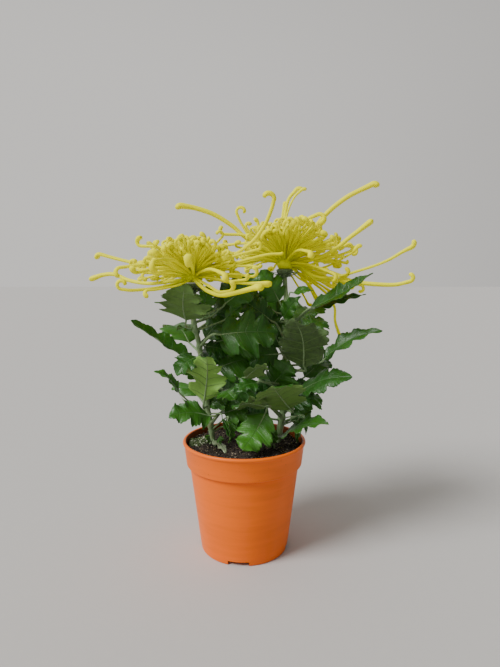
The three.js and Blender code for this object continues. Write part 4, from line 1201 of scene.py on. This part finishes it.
def add_grain(skin, x, y, size, stretch, flat, finish, seed, lift=GRAIN_LIFT):
    """Adds one irregular grain, chip or fibre that lies on the soil."""
    turns = even_turns(GRAIN_SIDES)
    spin = between(0, 2 * math.pi, seed)
    tip = between(*GRAIN_TIPS, seed + 0.3)
    rings = []
    for row, (part, wide) in enumerate(GRAIN_SHAPE):
        seeds = [seed + row * GRAIN_SIDES + spoke for spoke in range(GRAIN_SIDES)]
        jitter = np.array([between(*GRAIN_JITTER, place) for place in seeds])
        rings.append(np.stack([np.full(GRAIN_SIDES, part * stretch), np.cos(turns) * wide * jitter,
                               np.sin(turns) * wide * jitter * flat], -1))
    lean = np.array(((math.cos(tip), 0, math.sin(tip)), (0, 1, 0), (-math.sin(tip), 0, math.cos(tip))))
    place = np.array((x, y, soil_height(x, y) + size * flat * lift))
    skin.rings(turned(np.array(rings) * size @ lean.T, spin) + place, finish)


def add_grains(skin, count):
    """Scatters crumbs, bark chips, perlite and fibres over the soil."""
    for index in range(count):
        reach = (SOIL_EDGE - 0.8) * math.sqrt(draw(index + 0.25))
        turn = between(0, 2 * math.pi, index + 0.75)
        kind = draw(index + 0.5)
        _, low, high, stretch, flat, finish = next(row for row in GRAIN_KINDS if kind <= row[0])
        size = between(low, high, index + 0.6)
        x, y = reach * math.cos(turn), reach * math.sin(turn)
        add_grain(skin, x, y, size, stretch, flat, finish, index)


def add_moss(skin):
    """Adds a cushion of green and dry moss by the pot's wall."""
    for index in range(MOSS_TUFTS):
        spread = math.sqrt(draw(index + 0.45))
        turn = between(0, 2 * math.pi, index + 0.85)
        x = MOSS_MIDDLE[0] + MOSS_REACH[0] * spread * math.cos(turn)
        y = MOSS_MIDDLE[1] + MOSS_REACH[1] * spread * math.sin(turn)
        if math.hypot(x, y) < SOIL_EDGE - 1:
            finish = 3 if draw(index + 0.55) < MOSS_GREEN else 4
            size = between(*MOSS_SIZES, index + 0.65)
            add_grain(skin, x, y, size, MOSS_STRETCH, MOSS_FLATNESS, finish, index, MOSS_LIFT)


def add_floor(base):
    """Adds a wide round floor that fills the picture to the horizon."""
    mesh = bpy.data.meshes.new("floor")
    points = [(FLOOR_RADIUS * math.cos(turn), FLOOR_RADIUS * math.sin(turn), -FLOOR_DROP)
              for turn in even_turns(FLOOR_SIDES)]
    mesh.from_pydata(points, [], [list(range(FLOOR_SIDES))])
    mesh.materials.append(ground_finish(base))
    floor = bpy.data.objects.new("floor", mesh)
    bpy.context.scene.collection.objects.link(floor)


def add_key_light(power):
    """Adds the soft light from the left, behind the camera and above."""
    sun = bpy.data.lights.new("key", "SUN")
    sun.energy = power
    sun.angle = KEY_SPREAD
    key = bpy.data.objects.new("key", sun)
    key.rotation_euler = Vector(KEY_FROM).to_track_quat("Z", "Y").to_euler()
    bpy.context.scene.collection.objects.link(key)


def add_room(settings):
    """Adds the pale room round the plant, darker to the right, with a ceiling of its own brightness."""
    world = bpy.data.worlds.new("studio")
    world.use_nodes = True
    room = Nodes(world.node_tree)
    direction = room.node("ShaderNodeTexCoord").outputs["Generated"]
    height = room.node("ShaderNodeSeparateXYZ", Vector=direction).outputs[2]
    strength = room.range(height, *CEILING_RANGE, settings.wall, settings.ceiling)
    towards_dark = room.node("ShaderNodeVectorMath", {"operation": "DOT_PRODUCT"}, Vector=direction)
    towards_dark.inputs[1].default_value = DARK_SIDE
    shade = room.range(towards_dark.outputs["Value"], *DARK_RANGE, 1, 1 - settings.shade)
    background = world.node_tree.nodes["Background"]
    background.inputs["Color"].default_value = color(settings.ground)
    room.put(background.inputs["Strength"], room.math("MULTIPLY", strength, shade))
    bpy.context.scene.world = world


def add_camera(settings):
    """Adds the camera in front of the plant, looking a little down."""
    lens = bpy.data.cameras.new("camera")
    lens.lens = settings.lens
    lens.sensor_width = SENSOR_WIDTH
    lens.clip_start = 0.01
    camera = bpy.data.objects.new("camera", lens)
    camera.location = (CAMERA_ASIDE, -settings.distance, settings.height)
    camera.rotation_euler = (math.pi / 2 - settings.pitch, 0, 0)
    bpy.context.scene.collection.objects.link(camera)
    bpy.context.scene.camera = camera


class PotSettings(bpy.types.PropertyGroup):
    plastic: bpy.props.FloatVectorProperty(
        name="Plastic", description="Colour of the pot's plastic", subtype="COLOR", size=3,
        min=0, max=1, default=(0.95, 0.165, 0.002))
    sides: bpy.props.IntProperty(
        name="Sides", description="Steps round the pot's wall", default=168, min=24)


class SoilSettings(bpy.types.PropertyGroup):
    peat: bpy.props.FloatVectorProperty(
        name="Peat", description="Colour of the peat", subtype="COLOR", size=3, min=0, max=1,
        default=(0.022, 0.015, 0.01))
    grains: bpy.props.IntProperty(
        name="Grains", description="Loose crumbs, bark chips and perlite on top", default=2100, min=0)


class LeafSettings(bpy.types.PropertyGroup):
    upper: bpy.props.FloatVectorProperty(
        name="Upper side", description="Colour of a leaf's upper side", subtype="COLOR", size=3,
        min=0, max=1, default=(0.01, 0.082, 0.004))
    under: bpy.props.FloatVectorProperty(
        name="Underside", description="Colour of a leaf's underside", subtype="COLOR", size=3,
        min=0, max=1, default=(0.05, 0.112, 0.014))
    stalk: bpy.props.FloatVectorProperty(
        name="Stalk", description="Colour of stems and petioles", subtype="COLOR", size=3,
        min=0, max=1, default=(0.25, 0.39, 0.17))
    hairs: bpy.props.IntProperty(
        name="Hairs", description="Short hairs on each stem", default=900, min=0)


class BloomSettings(bpy.types.PropertyGroup):
    petal: bpy.props.FloatVectorProperty(
        name="Florets", description="Colour of the florets", subtype="COLOR", size=3, min=0, max=1,
        default=(0.92, 0.9, 0.0))
    count: bpy.props.IntProperty(
        name="Short florets", description="Florets in the dense middle of a bloom", default=FAN_COUNT, min=10)
    curl: bpy.props.FloatProperty(
        name="Curl", description="How far the floret tips curl", subtype="FACTOR", default=1, min=0.2,
        max=1.3)


class StageSettings(bpy.types.PropertyGroup):
    ground: bpy.props.FloatVectorProperty(
        name="Floor", description="Colour of the floor", subtype="COLOR", size=3, min=0, max=1,
        default=(0.53, 0.515, 0.495))
    key_power: bpy.props.FloatProperty(
        name="Key light", description="Strength of the soft light from the left", default=3.5, min=0)
    wall: bpy.props.FloatProperty(
        name="Walls", description="Brightness of the room near the horizon", default=1.4, min=0)
    ceiling: bpy.props.FloatProperty(
        name="Ceiling", description="Brightness of the room overhead", default=1.1, min=0)
    shade: bpy.props.FloatProperty(
        name="Shade", description="How much darker the room is to the right of the camera",
        subtype="FACTOR", default=0.6, min=0, max=1)
    lens: bpy.props.FloatProperty(
        name="Lens", description="Focal length of the camera", unit="CAMERA", default=26)
    distance: bpy.props.FloatProperty(
        name="Distance", description="From the plant's axis to the camera", unit="LENGTH", default=0.462)
    height: bpy.props.FloatProperty(
        name="Height", description="Height of the camera above the floor", unit="LENGTH", default=0.2574)
    pitch: bpy.props.FloatProperty(
        name="Pitch", description="How far the camera looks down", subtype="ANGLE", default=0.1)


class MakePot(bpy.types.Operator):
    """Make the moulded pot with its lip, collar, foot notches and drain holes"""
    bl_idname = "chrysanthemum.make_pot"
    bl_label = "Pot"

    def execute(self, context):
        settings = context.scene.chrysanthemum_pot
        skin = Skin()
        skin.lathe(pot_profile(), settings.sides, 0)
        pot = skin.piece("pot_shell", [pot_finish(settings.plastic)], "pot")
        cut(pot, pot_cutters())
        pot.data.polygons.foreach_set("use_smooth", [True] * len(pot.data.polygons))
        pot.data.set_sharp_from_angle(angle=SHARP_ANGLE)
        return {"FINISHED"}


class MakeSoil(bpy.types.Operator):
    """Make the potting soil with its crumbs, bark chips, perlite and moss"""
    bl_idname = "chrysanthemum.make_soil"
    bl_label = "Soil"

    def execute(self, context):
        settings = context.scene.chrysanthemum_soil
        skin = Skin()
        add_soil(skin)
        add_grains(skin, settings.grains)
        add_moss(skin)
        finishes = [
            crumb_finish("peat", settings.peat, scaled(settings.peat, 2.4)),
            crumb_finish("bark", (0.09, 0.062, 0.032), (0.19, 0.14, 0.08)),
            crumb_finish("perlite", (0.4, 0.33, 0.21), (0.6, 0.52, 0.36), 0.85),
            crumb_finish("moss", (0.035, 0.06, 0.014), (0.09, 0.13, 0.035)),
            crumb_finish("dry_moss", (0.3, 0.32, 0.22), (0.5, 0.52, 0.4)),
        ]
        skin.piece("soil_top", finishes, "soil")
        return {"FINISHED"}


class MakeStems(bpy.types.Operator):
    """Make both leafy stems with their leaves and the green cups under the blooms"""
    bl_idname = "chrysanthemum.make_stems"
    bl_label = "Leafy stems"

    def execute(self, context):
        settings = context.scene.chrysanthemum_leaves
        stalk = tuple(settings.stalk)
        pale = scaled(stalk, 1.6)
        finishes = [
            leaf_upper_finish(settings.upper, (0.055, 0.14, 0.03)),
            leaf_under_finish(settings.under, (0.1, 0.17, 0.045)),
            stalk_finish("stalk", stalk, scaled(stalk, 0.6)),
            stalk_finish("hair", pale, stalk),
            stalk_finish("bract", scaled(stalk, 0.3), scaled(stalk, 0.5), pale),
        ]
        lobed, plain = LEAF_KINDS["lobed"], LEAF_KINDS["plain"]
        for side in STEM_NAMES:
            skin = Skin()
            add_stem(skin, side, settings.hairs)
            add_involucre(skin, side)
            stem_line = smooth_line(STEMS[side]["path"], 400)
            first = LEAF_SEEDS[side]
            for index, spec in enumerate(LEAVES[side]):
                add_leaf(skin, lobed, spec, stem_line, first + index * 3, TINTS[side].get(index))
            for index, spec in enumerate(SMALL_LEAVES[side]):
                add_leaf(skin, plain, spec, stem_line, first + SMALL_SEED + index * 3)
            for index, (foot, *spec, tint) in enumerate(SPROUTS):
                if (foot[0] < 0) == (side == "left"):
                    root = np.array([[*foot, SOIL_LEVEL]], float)
                    add_leaf(skin, plain, (0, *spec), root, first + SPROUT_SEED + index * 3, tint)
            skin.piece(f"leafy_stem_{side}", finishes, f"stem_{side}")
        return {"FINISHED"}


class MakeBlooms(bpy.types.Operator):
    """Make both blooms from single curled florets on a small solid core"""
    bl_idname = "chrysanthemum.make_blooms"
    bl_label = "Blooms"

    def execute(self, context):
        settings = context.scene.chrysanthemum_blooms
        finish = petal_finish(settings.petal)
        for side in STEM_NAMES:
            skin = Skin()
            # The core's marks: near the root, half the painted shade of the grooves, and a middle tint.
            skin.lathe(CORE_PROFILE, CORE_SIDES, 0, HEARTS[side], (0.05, 0.5, 0.5))
            add_short_florets(skin, side, settings.count, settings.curl)
            add_long_florets(skin, side, settings.curl)
            skin.piece(f"florets_{side}", [finish], f"bloom_{side}")
        return {"FINISHED"}


class MakeStage(bpy.types.Operator):
    """Make the floor, the soft lights and the camera"""
    bl_idname = "chrysanthemum.make_stage"
    bl_label = "Stage"

    def execute(self, context):
        settings = context.scene.chrysanthemum_stage
        add_floor(settings.ground)
        add_key_light(settings.key_power)
        add_room(settings)
        add_camera(settings)
        return {"FINISHED"}


class ChrysanthemumPanel(bpy.types.Panel):
    """Lists the steps and the settings of the plant"""
    bl_idname = "VIEW3D_PT_chrysanthemum"
    bl_label = "Chrysanthemum"
    bl_space_type = "VIEW_3D"
    bl_region_type = "UI"
    bl_category = "Chrysanthemum"

    def draw(self, context):
        for operator, group in STEPS:
            box = self.layout.box()
            box.operator(operator.bl_idname)
            settings = getattr(context.scene, group)
            for name in settings.__annotations__:
                box.prop(settings, name)


SETTINGS = (
    ("chrysanthemum_pot", PotSettings),
    ("chrysanthemum_soil", SoilSettings),
    ("chrysanthemum_leaves", LeafSettings),
    ("chrysanthemum_blooms", BloomSettings),
    ("chrysanthemum_stage", StageSettings),
)
STEPS = (
    (MakeStage, "chrysanthemum_stage"),
    (MakePot, "chrysanthemum_pot"),
    (MakeSoil, "chrysanthemum_soil"),
    (MakeStems, "chrysanthemum_leaves"),
    (MakeBlooms, "chrysanthemum_blooms"),
)


def register():
    for name, group in SETTINGS:
        bpy.utils.register_class(group)
        setattr(bpy.types.Scene, name, bpy.props.PointerProperty(type=group))
    for operator, _ in STEPS:
        bpy.utils.register_class(operator)
    bpy.utils.register_class(ChrysanthemumPanel)


def unregister():
    bpy.utils.unregister_class(ChrysanthemumPanel)
    for operator, _ in reversed(STEPS):
        bpy.utils.unregister_class(operator)
    for name, group in reversed(SETTINGS):
        delattr(bpy.types.Scene, name)
        bpy.utils.unregister_class(group)


def main():
    register()
    bpy.ops.chrysanthemum.make_stage()
    bpy.ops.chrysanthemum.make_pot()
    bpy.ops.chrysanthemum.make_soil()
    bpy.ops.chrysanthemum.make_stems()
    bpy.ops.chrysanthemum.make_blooms()


if __name__ == "__main__":
    main()
